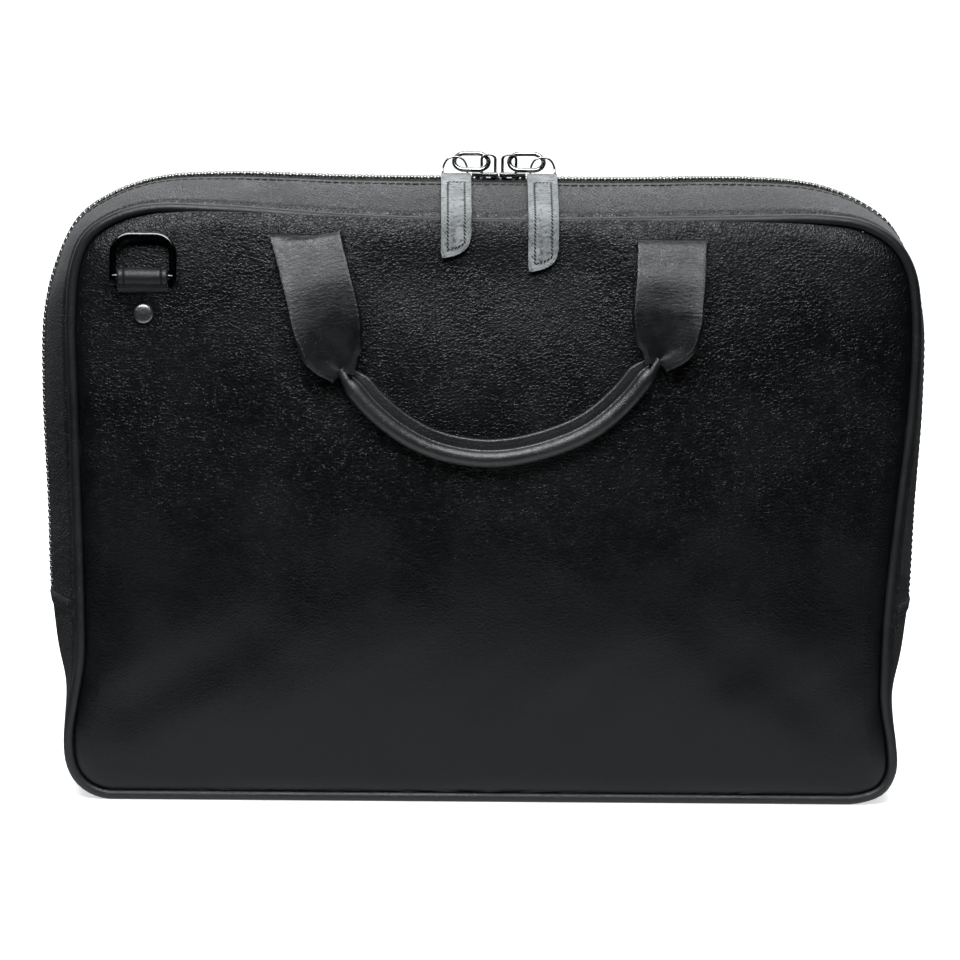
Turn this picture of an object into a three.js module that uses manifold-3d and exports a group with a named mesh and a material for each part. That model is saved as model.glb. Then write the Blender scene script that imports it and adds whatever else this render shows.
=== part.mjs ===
// A soft leather document case with a two-way zip, a pair of rolled handles and two strap rings.
// Millimetres, +X to the right, +Y to the back, +Z up, origin on the floor below the middle.
// The back half is the front half turned half a turn about Z.
import * as THREE from "three";
import { mergeVertices } from "three/addons/utils/BufferGeometryUtils.js";
import Module from "manifold-3d";

const wasm = await Module();
wasm.setup();

// Sizes of the body
const caseWidth = 406;
const caseHeight = 287;
const seamDepth = 70;
const leather = 2;
const gap = 0.3;
const belly = 9;
const lowBelly = 3;
const pipingRadius = 2;

// Sizes of the zip
const zipOpening = 18;
const tapeThickness = 0.8;
const tapeUnder = 8;
const chainWidth = 6;
const chainThickness = 3;
const sliderLength = 12;
const sliderWidth = 10;
const sliderPlate = 1.5;
const slidersMeetX = 5.9;
const bailLength = 7.5;
const bailWidth = 2;
const bailBand = 1.3;
const bailHeight = 8.6;
const bailFromMiddle = 1;
const postFromNose = 2.2;
const linkLength = 17.5;
const linkWidth = 11.5;
const linkWire = 1.8;
const linkTiltDeg = 45;
const pullWire = 1;
const pullWireHeight = 8.6;
const pullWireFromEdge = 1.2;
const pullWireShift = 0.4;
const tabWidth = 13.6;
const tabThickness = 2.4;
const tabApart = 12.8;
const tabBend = 6;
const tabFoldSetBack = 1;
const leftTabDrop = 17.5;
const rightTabDrop = 23.5;

// Sizes of the handles
const strapWidth = 32;
const strapThickness = 2.5;
const strapTail = 70;
const slitBelowSeam = 13.3;
const handleSpan = 163.7;
const slitMiddleX = 1.15;
const leftFlapDrop = 58.2;
const rightFlapDrop = 51.2;
const gripRadius = 4;
const flangeWidth = 5;
const flangeThickness = 3;
const gripSag = 42.5;
const gripStandOff = 1.2;
const flapStandOff = 0.5;

// Sizes of the strap rings
const ringInnerWidth = 23.4;
const ringInnerHeight = 14.8;
const ringBand = 3.4;
const ringThickness = 3;
const ringBarRadius = 1.6;
const ringCorner = 8;
const ringLeanDeg = 10;
const ringFromSide = 49.3;
const ringBelowTop = 42;
const tabLeather = 2.1;
const tongueThickness = 2.6;
const tongueLength = 24;
const rivetCap = 9;
const rivetCapHeight = 1.3;
const rivetShank = 3;
const rivetBelowBar = 17.3;

const halfWidth = caseWidth / 2;
const halfDepth = seamDepth / 2;
const pipingInset = pipingRadius + gap;
const panelFace = halfDepth + pipingRadius + gap + leather;
const ringX = ringFromSide - halfWidth;
const ringBarZ = caseHeight - ringBelowTop;

// The outline, clockwise from the middle of the bottom, as shares of half the width and of the height.
// seam is the front seam, zip the line halfway back, lip how far the panel's edge stays inside the piping,
// steps the pieces that the stretch to the next row is drawn with.
const outlineRows = [
  { seamX: 0, seamZ: 0, zipX: 0, zipZ: 0, lip: 1, steps: 1 },
  { seamX: -0.3, seamZ: 0, zipX: -0.3, zipZ: 0, lip: 1, steps: 1 },
  { seamX: -0.64, seamZ: 0, zipX: -0.64, zipZ: 0, lip: 1, steps: 1 },
  { seamX: -0.85, seamZ: 0, zipX: -0.85, zipZ: 0, lip: 1, steps: 2 },
  { seamX: -0.908, seamZ: 0.019, zipX: -0.911, zipZ: 0.014, lip: 1, steps: 2 },
  { seamX: -0.938, seamZ: 0.052, zipX: -0.948, zipZ: 0.049, lip: 1, steps: 1 },
  { seamX: -0.945, seamZ: 0.105, zipX: -0.951, zipZ: 0.111, lip: 1, steps: 1 },
  { seamX: -0.932, seamZ: 0.167, zipX: -0.953, zipZ: 0.167, lip: 1, steps: 1 },
  { seamX: -0.918, seamZ: 0.23, zipX: -0.97, zipZ: 0.23, lip: 1, steps: 1 },
  { seamX: -0.917, seamZ: 0.317, zipX: -0.985, zipZ: 0.317, lip: 1, steps: 1 },
  { seamX: -0.922, seamZ: 0.47, zipX: -0.991, zipZ: 0.47, lip: 1, steps: 1 },
  { seamX: -0.928, seamZ: 0.645, zipX: -1, zipZ: 0.645, lip: 1, steps: 1 },
  { seamX: -0.932, seamZ: 0.784, zipX: -0.995, zipZ: 0.774, lip: 1, steps: 2 },
  { seamX: -0.921, seamZ: 0.864, zipX: -0.968, zipZ: 0.854, lip: 1, steps: 2 },
  { seamX: -0.892, seamZ: 0.913, zipX: -0.916, zipZ: 0.927, lip: 1, steps: 2 },
  { seamX: -0.837, seamZ: 0.943, zipX: -0.842, zipZ: 0.965, lip: 1, steps: 2 },
  { seamX: -0.749, seamZ: 0.962, zipX: -0.739, zipZ: 0.991, lip: 0.95, steps: 1 },
  { seamX: -0.591, seamZ: 0.962, zipX: -0.586, zipZ: 1, lip: 0.5, steps: 1 },
  { seamX: -0.3, seamZ: 0.95, zipX: -0.3, zipZ: 0.997, lip: 0.1, steps: 1 },
  { seamX: 0, seamZ: 0.945, zipX: 0, zipZ: 0.997, lip: 0.1, steps: 1 },
  { seamX: 0.3, seamZ: 0.949, zipX: 0.3, zipZ: 0.997, lip: 0.1, steps: 1 },
  { seamX: 0.591, seamZ: 0.954, zipX: 0.586, zipZ: 1, lip: 0.5, steps: 1 },
  { seamX: 0.739, seamZ: 0.956, zipX: 0.739, zipZ: 0.991, lip: 0.95, steps: 2 },
  { seamX: 0.842, seamZ: 0.946, zipX: 0.842, zipZ: 0.965, lip: 1, steps: 2 },
  { seamX: 0.916, seamZ: 0.915, zipX: 0.916, zipZ: 0.927, lip: 1, steps: 2 },
  { seamX: 0.956, seamZ: 0.868, zipX: 0.968, zipZ: 0.854, lip: 1, steps: 2 },
  { seamX: 0.973, seamZ: 0.784, zipX: 0.995, zipZ: 0.774, lip: 1, steps: 1 },
  { seamX: 0.97, seamZ: 0.645, zipX: 1, zipZ: 0.645, lip: 1, steps: 1 },
  { seamX: 0.948, seamZ: 0.47, zipX: 0.991, zipZ: 0.47, lip: 1, steps: 1 },
  { seamX: 0.931, seamZ: 0.317, zipX: 0.985, zipZ: 0.317, lip: 1, steps: 1 },
  { seamX: 0.928, seamZ: 0.23, zipX: 0.97, zipZ: 0.23, lip: 1, steps: 1 },
  { seamX: 0.93, seamZ: 0.167, zipX: 0.953, zipZ: 0.167, lip: 1, steps: 1 },
  { seamX: 0.946, seamZ: 0.105, zipX: 0.951, zipZ: 0.111, lip: 1, steps: 1 },
  { seamX: 0.949, seamZ: 0.052, zipX: 0.948, zipZ: 0.049, lip: 1, steps: 2 },
  { seamX: 0.921, seamZ: 0.017, zipX: 0.911, zipZ: 0.014, lip: 1, steps: 2 },
  { seamX: 0.85, seamZ: 0, zipX: 0.85, zipZ: 0, lip: 1, steps: 1 },
  { seamX: 0.64, seamZ: 0, zipX: 0.64, zipZ: 0, lip: 1, steps: 1 },
  { seamX: 0.3, seamZ: 0, zipX: 0.3, zipZ: 0, lip: 1, steps: 1 },
];
const leftHemRow = 9;
const rightHemRow = 29;

// Dents and folds of a panel, as shares of half the width and of the height. rise is a share of the belly.
const foldRows = [
  { name: "left strap pull", x0: -0.48, z0: 0.9, x1: -0.32, z1: 0.9, spread: 0.05, rise: 0.16 },
  { name: "right strap pull", x0: 0.33, z0: 0.9, x1: 0.49, z1: 0.9, spread: 0.05, rise: 0.16 },
  { name: "hollow between the straps", x0: -0.2, z0: 0.86, x1: 0.2, z1: 0.86, spread: 0.08, rise: -0.18 },
  { name: "left foot fold", x0: -0.51, z0: 0.26, x1: -0.78, z1: 0.16, spread: 0.06, rise: -0.2 },
  { name: "right foot fold", x0: 0.58, z0: 0.24, x1: 0.82, z1: 0.12, spread: 0.06, rise: -0.2 },
  { name: "dent under the ring", x0: -0.8, z0: 0.72, x1: -0.6, z1: 0.62, spread: 0.09, rise: -0.12 },
  { name: "right edge pinch", x0: 0.86, z0: 0.3, x1: 0.9, z1: 0.17, spread: 0.04, rise: -0.14 },
];

// The rings that a panel is drawn with, from its edge to its middle, as shares of the way in.
const panelShares = [0.06, 0.17, 0.34, 0.56];
const panelCrown = 2.6;
const rimThickness = 0.35 * leather;

// The front part of a handle strap, from its slit to its tip. down is a share of the flap's drop, lean the
// middle line's shift as a share of the strap's width, half and fold are shares of the strap's width too.
const flapRows = [
  { down: 0.12, leftLean: 0.075, rightLean: 0.01, half: 0.47, fold: 0.01 },
  { down: 0.3, leftLean: 0.165, rightLean: 0.025, half: 0.47, fold: 0.02 },
  { down: 0.46, leftLean: 0.24, rightLean: 0.05, half: 0.475, fold: 0.06 },
  { down: 0.61, leftLean: 0.3, rightLean: 0.062, half: 0.48, fold: 0.12 },
  { down: 0.76, leftLean: 0.36, rightLean: 0.065, half: 0.43, fold: 0.19 },
  { down: 0.89, leftLean: 0.41, rightLean: 0.085, half: 0.3, fold: 0.24 },
  { down: 1, leftLean: 0.53, rightLean: 0.21, half: 0.14, fold: 0.25 },
];

// The middle line of a grip between its two ends, as shares of its span and of its sag.
const gripRows = [
  { across: 0.088, down: 0.39 },
  { across: 0.204, down: 0.722 },
  { across: 0.32, down: 0.91 },
  { across: 0.474, down: 1 },
  { across: 0.628, down: 0.935 },
  { across: 0.784, down: 0.74 },
  { across: 0.9, down: 0.43 },
];

const finishes = {
  leather: { color: 0x101113, roughness: 0.45, metalness: 0 },
  edge: { color: 0x17181a, roughness: 0.4, metalness: 0 },
  tape: { color: 0x0b0b0c, roughness: 0.9, metalness: 0 },
  nickel: { color: 0xc9c6bf, roughness: 0.25, metalness: 1 },
  gunmetal: { color: 0x2a2b2d, roughness: 0.2, metalness: 1 },
  tab: { color: 0x33363a, roughness: 0.6, metalness: 0 },
};

// A closed geometry as a solid, its faces turned out.
function toSolid(geometry) {
  const bare = geometry.clone();
  for (const name of Object.keys(bare.attributes)) {
    if (name !== "position") bare.deleteAttribute(name);
  }
  const merged = mergeVertices(bare, 1e-4);
  const make = (triVerts) => {
    const vertProperties = merged.attributes.position.array;
    return new wasm.Manifold(new wasm.Mesh({ numProp: 3, vertProperties, triVerts }));
  };
  const triVerts = new Uint32Array(merged.index.array);
  const solid = make(triVerts);
  return solid.volume() > 0 ? solid : make(triVerts.slice().reverse());
}

function toMesh(name, solid, finish) {
  const made = solid.getMesh();
  const places = new Float32Array(made.numVert * 3);
  for (let i = 0; i < made.numVert; i++) {
    const start = i * made.numProp;
    places.set(made.vertProperties.subarray(start, start + 3), i * 3);
  }
  const geometry = new THREE.BufferGeometry();
  geometry.setAttribute("position", new THREE.BufferAttribute(places, 3));
  geometry.setIndex(new THREE.BufferAttribute(made.triVerts, 1));
  geometry.computeVertexNormals();
  const mesh = new THREE.Mesh(geometry, new THREE.MeshStandardMaterial(finishes[finish]));
  mesh.name = name;
  return mesh;
}

function fromPoints(points, triangles) {
  const geometry = new THREE.BufferGeometry();
  geometry.setFromPoints(points);
  geometry.setIndex(triangles);
  return geometry;
}

// A bent wall: each section runs along its outer side and back along its inner side.
function loftWall(sections) {
  const count = sections[0].length;
  const triangles = [];
  const quad = (a, b, c, d) => triangles.push(a, b, c, a, c, d);
  for (let i = 0; i + 1 < sections.length; i++) {
    for (let j = 0; j < count; j++) {
      const next = (j + 1) % count;
      const low = i * count;
      const high = low + count;
      quad(low + j, low + next, high + next, high + j);
    }
  }
  const last = (sections.length - 1) * count;
  for (let j = 0; j + 1 < count / 2; j++) {
    const far = count - 1 - j;
    quad(j, far, far - 1, j + 1);
    quad(last + j, last + j + 1, last + far - 1, last + far);
  }
  return toSolid(fromPoints(sections.flat(), triangles));
}

// A polyline of [y, z] pairs with a thickness, carried along X from x0 to x1.
function ribbon(line, thickness, x0, x1) {
  const side = (sign) =>
    line.map(([y, z], i) => {
      const [ya, za] = line[Math.max(i - 1, 0)];
      const [yb, zb] = line[Math.min(i + 1, line.length - 1)];
      const offset = (sign * thickness) / 2 / Math.hypot(yb - ya, zb - za);
      return new THREE.Vector2(y - (zb - za) * offset, z + (yb - ya) * offset);
    });
  return extrudeAcross(new THREE.Shape([...side(1), ...side(-1).reverse()]), x0, x1);
}

// A shape drawn in Y and Z, carried along X.
function extrudeAcross(shape, x0, x1) {
  const geometry = new THREE.ExtrudeGeometry(shape, { depth: x1 - x0, bevelEnabled: false, curveSegments: 10 });
  geometry.applyMatrix4(new THREE.Matrix4().set(0, 0, 1, x0, 1, 0, 0, 0, 0, 1, 0, 0, 0, 0, 0, 1));
  return toSolid(geometry);
}

function circleShape(radius, sides) {
  const points = [];
  for (let i = 0; i < sides; i++) {
    const turn = ((i + 0.5) * 2 * Math.PI) / sides;
    points.push(new THREE.Vector2(radius * Math.cos(turn), radius * Math.sin(turn)));
  }
  return new THREE.Shape(points);
}

function tube(curve, shape, steps) {
  return toSolid(new THREE.ExtrudeGeometry(shape, { extrudePath: curve, steps, bevelEnabled: false }));
}

function box(x0, x1, y0, y1, z0, z1) {
  const geometry = new THREE.BoxGeometry(x1 - x0, y1 - y0, z1 - z0);
  geometry.translate((x0 + x1) / 2, (y0 + y1) / 2, (z0 + z1) / 2);
  return toSolid(geometry);
}

// A cylinder along Y.
function roundBar(x, z, radius, y0, y1, sides) {
  const geometry = new THREE.CylinderGeometry(radius, radius, y1 - y0, sides);
  geometry.translate(x, (y0 + y1) / 2, z);
  return toSolid(geometry);
}

// The outline's stations: the front seam and the zip's line at the same places round the case.
function drawOutline() {
  const curveOf = (x, z) =>
    new THREE.CatmullRomCurve3(
      outlineRows.map((row) => new THREE.Vector3(row[x] * halfWidth, 0, row[z] * caseHeight)),
      true,
      "centripetal",
    );
  const seamCurve = curveOf("seamX", "seamZ");
  const zipCurve = curveOf("zipX", "zipZ");
  const stations = [];
  outlineRows.forEach((row, r) => {
    const next = outlineRows[(r + 1) % outlineRows.length];
    for (let i = 0; i < row.steps; i++) {
      const part = i / row.steps;
      const turn = (r + part) / outlineRows.length;
      const seam = seamCurve.getPoint(turn);
      const zip = zipCurve.getPoint(turn);
      seam.z = Math.max(seam.z, 0);
      zip.z = Math.max(zip.z, 0);
      stations.push({ row: r + part, seam, zip, lip: row.lip + (next.lip - row.lip) * part });
    }
  });
  return stations;
}

const stations = drawOutline();
const stationCount = stations.length;
const wrap = (k) => ((k % stationCount) + stationCount) % stationCount;
const leftHem = stations.findIndex((s) => s.row === leftHemRow);
const rightHem = stations.findIndex((s) => s.row === rightHemRow);

// A point of the front seam, the back seam or the zip's line at a station, or between two.
function linePoint(line, k) {
  const at = (i) => {
    if (line !== "back") return stations[wrap(i)][line];
    const turned = stations[wrap(-i)].seam;
    return new THREE.Vector3(-turned.x, 0, turned.z);
  };
  const low = Math.floor(k);
  return at(low).clone().lerp(at(low + 1), k - low);
}

// The way into the case in the plane of the outline.
function inward(line, k) {
  const along = linePoint(line, k + 1).sub(linePoint(line, k - 1)).normalize();
  return new THREE.Vector3(along.z, 0, -along.x);
}

// A point of the gusset: depth is measured in from its outside, y from the zip's line to a seam.
function gussetPoint(k, y, depth) {
  const line = y < 0 ? "seam" : "back";
  const share = 1 - Math.abs(y) / halfDepth;
  const rise = Math.sin((share * Math.PI) / 2);
  const point = linePoint(line, k).lerp(linePoint("zip", k), rise);
  const way = inward(line, k).lerp(inward("zip", k), rise).normalize();
  point.addScaledVector(way, depth);
  if (point.z < depth) point.z = depth;
  point.y = y;
  return point;
}

// A wall that follows the gusset from station k0 to k1. Each side row is [y, depth outside, depth inside].
function gussetWall(k0, k1, sideRows) {
  const places = [k0];
  for (let k = Math.floor(k0) + 1; k < k1 - 0.01; k++) {
    if (k > k0 + 0.01) places.push(k);
  }
  places.push(k1);
  return loftWall(
    places.map((k) => [
      ...sideRows.map(([y, outside]) => gussetPoint(k, y, outside)),
      ...sideRows.toReversed().map(([y, , inside]) => gussetPoint(k, y, inside)),
    ]),
  );
}

// How far one millimetre is along the outline, in stations, just after station k.
const stationsPerMm = (k) => 1 / linePoint("zip", k).distanceTo(linePoint("zip", k + 1));
const zipStart = leftHem + gap * stationsPerMm(leftHem);
const zipEnd = rightHem - gap * stationsPerMm(rightHem - 1);

function bottomGusset() {
  const edge = halfDepth - pipingInset;
  const sides = [-1, -0.7, -0.35, 0, 0.35, 0.7, 1].map((share) => [share * edge, 0, leather]);
  return gussetWall(rightHem, leftHem + stationCount, sides);
}

function zipGusset() {
  const edge = halfDepth - pipingInset;
  const fold = zipOpening / 2;
  const sides = [0, 0.3, 0.62, 1].map((share) => [-edge + (edge - fold) * share, 0, leather]);
  return gussetWall(zipStart, zipEnd, sides);
}

function zipTape() {
  const fold = zipOpening / 2;
  const under = leather + gap;
  const beside = (chainThickness - tapeThickness) / 2;
  const sides = [
    [-fold - tapeUnder, under],
    [-fold + gap, under],
    [-chainWidth / 2 - gap, beside],
  ].map(([y, depth]) => [y, depth, depth + tapeThickness]);
  return gussetWall(zipStart, zipEnd, sides);
}

function zipChain() {
  const sides = [-1, 1].map((side) => [(side * chainWidth) / 2, 0, chainThickness]);
  return gussetWall(zipStart, zipEnd, sides);
}

// The piping's middle line, by stations, from one side of its joint under the case to the other.
class PipingCurve extends THREE.Curve {
  getPoint(share) {
    const joint = gap * stationsPerMm(0);
    const k = joint + share * (stationCount - 2 * joint);
    const point = linePoint("seam", k).addScaledVector(inward("seam", k), pipingInset);
    point.y = -halfDepth;
    return point;
  }
  getPointAt(share) {
    return this.getPoint(share);
  }
  getTangentAt(share) {
    return this.getTangent(share);
  }
}

// How far a panel swells in front of its seam. share runs from its edge to its middle.
function swell(x, z, share) {
  const low = 1 - z / caseHeight;
  const height = belly + lowBelly * Math.sin(Math.min(low, 1) * Math.PI * 0.75);
  let folds = 0;
  for (const row of foldRows) {
    const ax = row.x0 * halfWidth;
    const az = row.z0 * caseHeight;
    const bx = row.x1 * halfWidth - ax;
    const bz = row.z1 * caseHeight - az;
    const along = THREE.MathUtils.clamp(((x - ax) * bx + (z - az) * bz) / (bx * bx + bz * bz), 0, 1);
    const away = Math.hypot(x - ax - bx * along, z - az - bz * along) / (row.spread * caseHeight);
    folds += row.rise * belly * Math.exp(-away * away);
  }
  const fade = Math.min(share / panelShares[1], 1);
  return height * (1 - Math.pow(1 - share, panelCrown)) + folds * fade;
}

// The front of the panel: its rings of points, from its edge in, and its middle point.
function panelFront() {
  const lipWidth = 0.6 * leather;
  const middleZ = caseHeight / 2;
  const edges = stations.map((station, k) => {
    const inset = gap + station.lip * (2 * pipingRadius + gap);
    const past = Math.max(inset - pipingInset, 0);
    const y = -halfDepth - Math.sqrt(Math.max(pipingInset * pipingInset - past * past, 0));
    const way = inward("seam", k);
    const place = (more, forward) => {
      const point = station.seam.clone().addScaledVector(way, inset + more);
      point.y = y - forward;
      return point;
    };
    return { rim: place(0, rimThickness), lip: place(lipWidth, leather) };
  });
  const rings = [edges.map((edge) => edge.rim), edges.map((edge) => edge.lip)];
  for (const share of panelShares) {
    rings.push(
      edges.map(({ lip }) => {
        const x = lip.x * (1 - share);
        const z = lip.z + (middleZ - lip.z) * share;
        return new THREE.Vector3(x, -panelFace - swell(x, z, share), z);
      }),
    );
  }
  return { rings, middle: new THREE.Vector3(0, -panelFace - swell(0, middleZ, 1), middleZ) };
}

const frontFace = panelFront();

// The faces of a panel's front as corner triples.
function faceTriangles({ rings, middle }) {
  const faces = [];
  const points = rings.length;
  for (let k = 0; k < stationCount; k++) {
    const next = wrap(k + 1);
    for (let j = 0; j + 1 < points; j++) {
      faces.push([rings[j][k], rings[j + 1][next], rings[j][next]]);
      faces.push([rings[j][k], rings[j + 1][k], rings[j + 1][next]]);
    }
    faces.push([rings[points - 1][k], middle, rings[points - 1][next]]);
  }
  return faces;
}

const frontFaces = faceTriangles(frontFace);

// The y of the panel's outside at a place on it.
function panelY(x, z) {
  for (const [a, b, c] of frontFaces) {
    const area = (b.x - a.x) * (c.z - a.z) - (c.x - a.x) * (b.z - a.z);
    if (Math.abs(area) < 1e-6) continue;
    const u = ((x - a.x) * (c.z - a.z) - (c.x - a.x) * (z - a.z)) / area;
    const v = ((b.x - a.x) * (z - a.z) - (x - a.x) * (b.z - a.z)) / area;
    if (u >= -1e-6 && v >= -1e-6 && u + v <= 1 + 1e-6) return a.y + u * (b.y - a.y) + v * (c.y - a.y);
  }
  return -panelFace;
}

// The foremost or rearmost y of the panel's outside across a strip.
function panelReach(x, z, half, pick) {
  return pick(...[-1, -0.5, 0, 0.5, 1].map((share) => panelY(x + half * share, z)));
}

// The height of the outline's top above a place, on the seam or the zip's line.
function topZ(line, x) {
  for (let k = leftHem; k < rightHem; k++) {
    const a = linePoint(line, k);
    const b = linePoint(line, k + 1);
    if (a.z > caseHeight / 2 && a.x <= x && b.x > x) return a.z + ((b.z - a.z) * (x - a.x)) / (b.x - a.x);
  }
  return caseHeight;
}

const slitLowZ = (x) => topZ("seam", x) - slitBelowSeam;
const bendRadius = leather / 2 + gap + strapThickness / 2;
const slitHeight = bendRadius + strapThickness / 2 + gap;
const tongueSlitZ = ringBarZ - ringBarRadius - gap - tabLeather - tongueThickness / 2;
const rivetZ = ringBarZ - rivetBelowBar;

function panel() {
  const { rings, middle } = frontFace;
  const back = rings.map((ring, j) =>
    ring.map((point) => {
      const inside = point.clone();
      inside.y += j === 0 ? rimThickness : leather;
      return inside;
    }),
  );
  const backMiddle = middle.clone();
  backMiddle.y += leather;
  const backSide = faceTriangles({ rings: back, middle: backMiddle }).map(([a, b, c]) => [a, c, b]);
  const rim = [];
  for (let k = 0; k < stationCount; k++) {
    const next = wrap(k + 1);
    rim.push([rings[0][k], rings[0][next], back[0][next]], [rings[0][k], back[0][next], back[0][k]]);
  }
  const corners = [...frontFaces, ...backSide, ...rim].flat();
  let solid = toSolid(fromPoints(corners, corners.map((_, i) => i)));
  const slit = (x, z0, z1, width) => box(x - width / 2, x + width / 2, -2 * halfDepth, 0, z0, z1);
  for (const side of [-1, 1]) {
    const x = slitMiddleX + (side * handleSpan) / 2;
    solid = solid.subtract(slit(x, slitLowZ(x), slitLowZ(x) + slitHeight, strapWidth + 2 * gap));
  }
  const tongue = tongueThickness / 2 + 2 * gap;
  solid = solid.subtract(slit(ringX, tongueSlitZ - tongue, tongueSlitZ + tongue, ringInnerWidth));
  return solid.subtract(roundBar(ringX, rivetZ, rivetShank / 2 + gap, -2 * halfDepth, 0, 10));
}

// One section of a strap: a strip across, its two edges lifted forward.
function strapSection(centre, across, outward, half, lift) {
  const shares = [-1, -0.5, 0, 0.5, 1];
  const side = (sign) =>
    shares.map((share) => {
      const point = centre.clone().addScaledVector(across, half * share);
      point.addScaledVector(outward, lift * share * share);
      const slope = (2 * lift * share) / half;
      const normal = outward.clone().addScaledVector(across, -slope).normalize();
      return point.addScaledVector(normal, (sign * strapThickness) / 2);
    });
  return [...side(1), ...side(-1).reverse()];
}

// The two straps of a handle: where each comes out, and how far its flap hangs down and leans to the grip.
const straps = {
  left: { slitX: slitMiddleX - handleSpan / 2, leanColumn: "leftLean", drop: leftFlapDrop },
  right: { slitX: slitMiddleX + handleSpan / 2, leanColumn: "rightLean", drop: rightFlapDrop },
};

// The middle line of a strap's front part, in X and Z.
function flapLine({ slitX, leanColumn, drop }) {
  const top = slitLowZ(slitX);
  const points = flapRows.map(
    (row) => new THREE.Vector3(slitX - Math.sign(slitX) * row[leanColumn] * strapWidth, 0, top - row.down * drop),
  );
  return new THREE.CatmullRomCurve3([new THREE.Vector3(slitX, 0, top), ...points], false, "centripetal");
}

function strap(sizes) {
  const { slitX } = sizes;
  const half = strapWidth / 2;
  const top = slitLowZ(slitX);
  const lay = gap + strapThickness / 2;
  const right = new THREE.Vector3(1, 0, 0);
  const sections = [];
  const behind = (z) => panelReach(slitX, z, half, Math.max) + leather + lay;
  for (const share of [1, 0.5, 0.08]) {
    const z = top - share * strapTail;
    sections.push(strapSection(new THREE.Vector3(slitX, behind(z), z), right, new THREE.Vector3(0, 1, 0), half, 0));
  }
  const wallY = panelY(slitX, top) + leather / 2;
  const spread = panelReach(slitX, top, half, Math.max) - panelReach(slitX, top, half, Math.min);
  const radius = bendRadius + spread / 2;
  for (const turn of [0, 60, 120, 180]) {
    const angle = THREE.MathUtils.degToRad(turn);
    const outward = new THREE.Vector3(0, Math.cos(angle), Math.sin(angle));
    const centre = new THREE.Vector3(slitX, wallY + radius * Math.cos(angle), top + bendRadius * Math.sin(angle));
    sections.push(strapSection(centre, right, outward, half, 0));
  }
  const line = flapLine(sizes);
  flapRows.forEach((row, i) => {
    const share = (i + 1) / flapRows.length;
    const centre = line.getPoint(share);
    const along = line.getTangent(share).setY(0).normalize();
    const across = new THREE.Vector3(-along.z, 0, along.x);
    const forward = new THREE.Vector3(0, -1, 0);
    const wide = row.half * strapWidth;
    const layOff = lay + flapStandOff + row.down * (gripStandOff - flapStandOff);
    centre.y = panelReach(centre.x, centre.z, wide, Math.min) - layOff;
    sections.push(strapSection(centre, across, forward, wide, row.fold * strapWidth));
  });
  return loftWall(sections);
}

// The grip's middle line, from just past the tip of one flap to the other.
function gripLine() {
  const tip = (sizes) => {
    const line = flapLine(sizes);
    const end = line.getPoint(1);
    return end.addScaledVector(line.getTangent(1), 2 * gap + flapStandOff);
  };
  const left = tip(straps.left);
  const right = tip(straps.right);
  const inner = gripRows.map((row) => {
    const high = left.z + (right.z - left.z) * row.across;
    return new THREE.Vector3(left.x + (right.x - left.x) * row.across, 0, high - row.down * gripSag);
  });
  const points = [left, ...inner, right];
  for (const point of points) {
    point.y = panelReach(point.x, point.z, gripRadius, Math.min) - gripStandOff - gripRadius - gap;
  }
  return new THREE.CatmullRomCurve3(points, false, "centripetal");
}

function grip() {
  const shape = new THREE.Shape();
  const half = flangeThickness / 2;
  const meet = Math.asin(half / gripRadius);
  const sides = 7;
  for (let i = 0; i <= sides; i++) {
    const turn = -Math.PI / 2 + meet + ((2 * Math.PI - 2 * meet) * i) / sides;
    const method = i === 0 ? "moveTo" : "lineTo";
    shape[method](gripRadius * Math.cos(turn), gripRadius * Math.sin(turn));
  }
  const edge = -gripRadius - flangeWidth;
  shape.lineTo(-half, edge);
  shape.lineTo(half, edge);
  return tube(gripLine(), shape, 18);
}

const ringBarY = panelReach(ringX, ringBarZ, ringInnerWidth / 2, Math.min) - 2 * gap - ringBarRadius - tabLeather;

// The strap ring stands straight in its own frame: its bar lies along X through the origin.
function ringSolid() {
  const innerHalf = ringInnerWidth / 2;
  const outerHalf = innerHalf + ringBand;
  const top = ringBarRadius + ringInnerHeight;
  const arch = (half, height, corner) => {
    const shape = new THREE.Path();
    shape.moveTo(-half, -ringBarRadius);
    shape.lineTo(half, -ringBarRadius);
    shape.lineTo(half, height - corner);
    shape.absarc(half - corner, height - corner, corner, 0, Math.PI / 2, false);
    shape.lineTo(-half + corner, height);
    shape.absarc(-half + corner, height - corner, corner, Math.PI / 2, Math.PI, false);
    return shape.getPoints(5);
  };
  const shape = new THREE.Shape(arch(outerHalf, top + ringBand, ringCorner + ringBand / 2));
  const hole = arch(innerHalf, top, ringCorner - ringBand / 2).map((p) => {
    return p.y < 0 ? new THREE.Vector2(p.x, -2 * ringBarRadius) : p;
  });
  const plate = new THREE.ExtrudeGeometry(shape, { depth: ringThickness, bevelEnabled: false });
  plate.translate(0, 0, -ringThickness / 2);
  plate.rotateX(Math.PI / 2);
  const cut = new THREE.ExtrudeGeometry(new THREE.Shape(hole), { depth: 3 * ringThickness, bevelEnabled: false });
  cut.translate(0, 0, -1.5 * ringThickness);
  cut.rotateX(Math.PI / 2);
  const bar = new THREE.CylinderGeometry(ringBarRadius, ringBarRadius, ringInnerWidth + ringBand, 12);
  bar.rotateZ(Math.PI / 2);
  return toSolid(plate).subtract(toSolid(cut)).add(toSolid(bar));
}

const tongueEndZ = ringBarZ - tongueLength;
const tongueHalf = ringInnerWidth / 2 - gap;
const tongueY = (z) => panelReach(ringX, z, tongueHalf, Math.max) + leather + gap + tongueThickness / 2;

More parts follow.
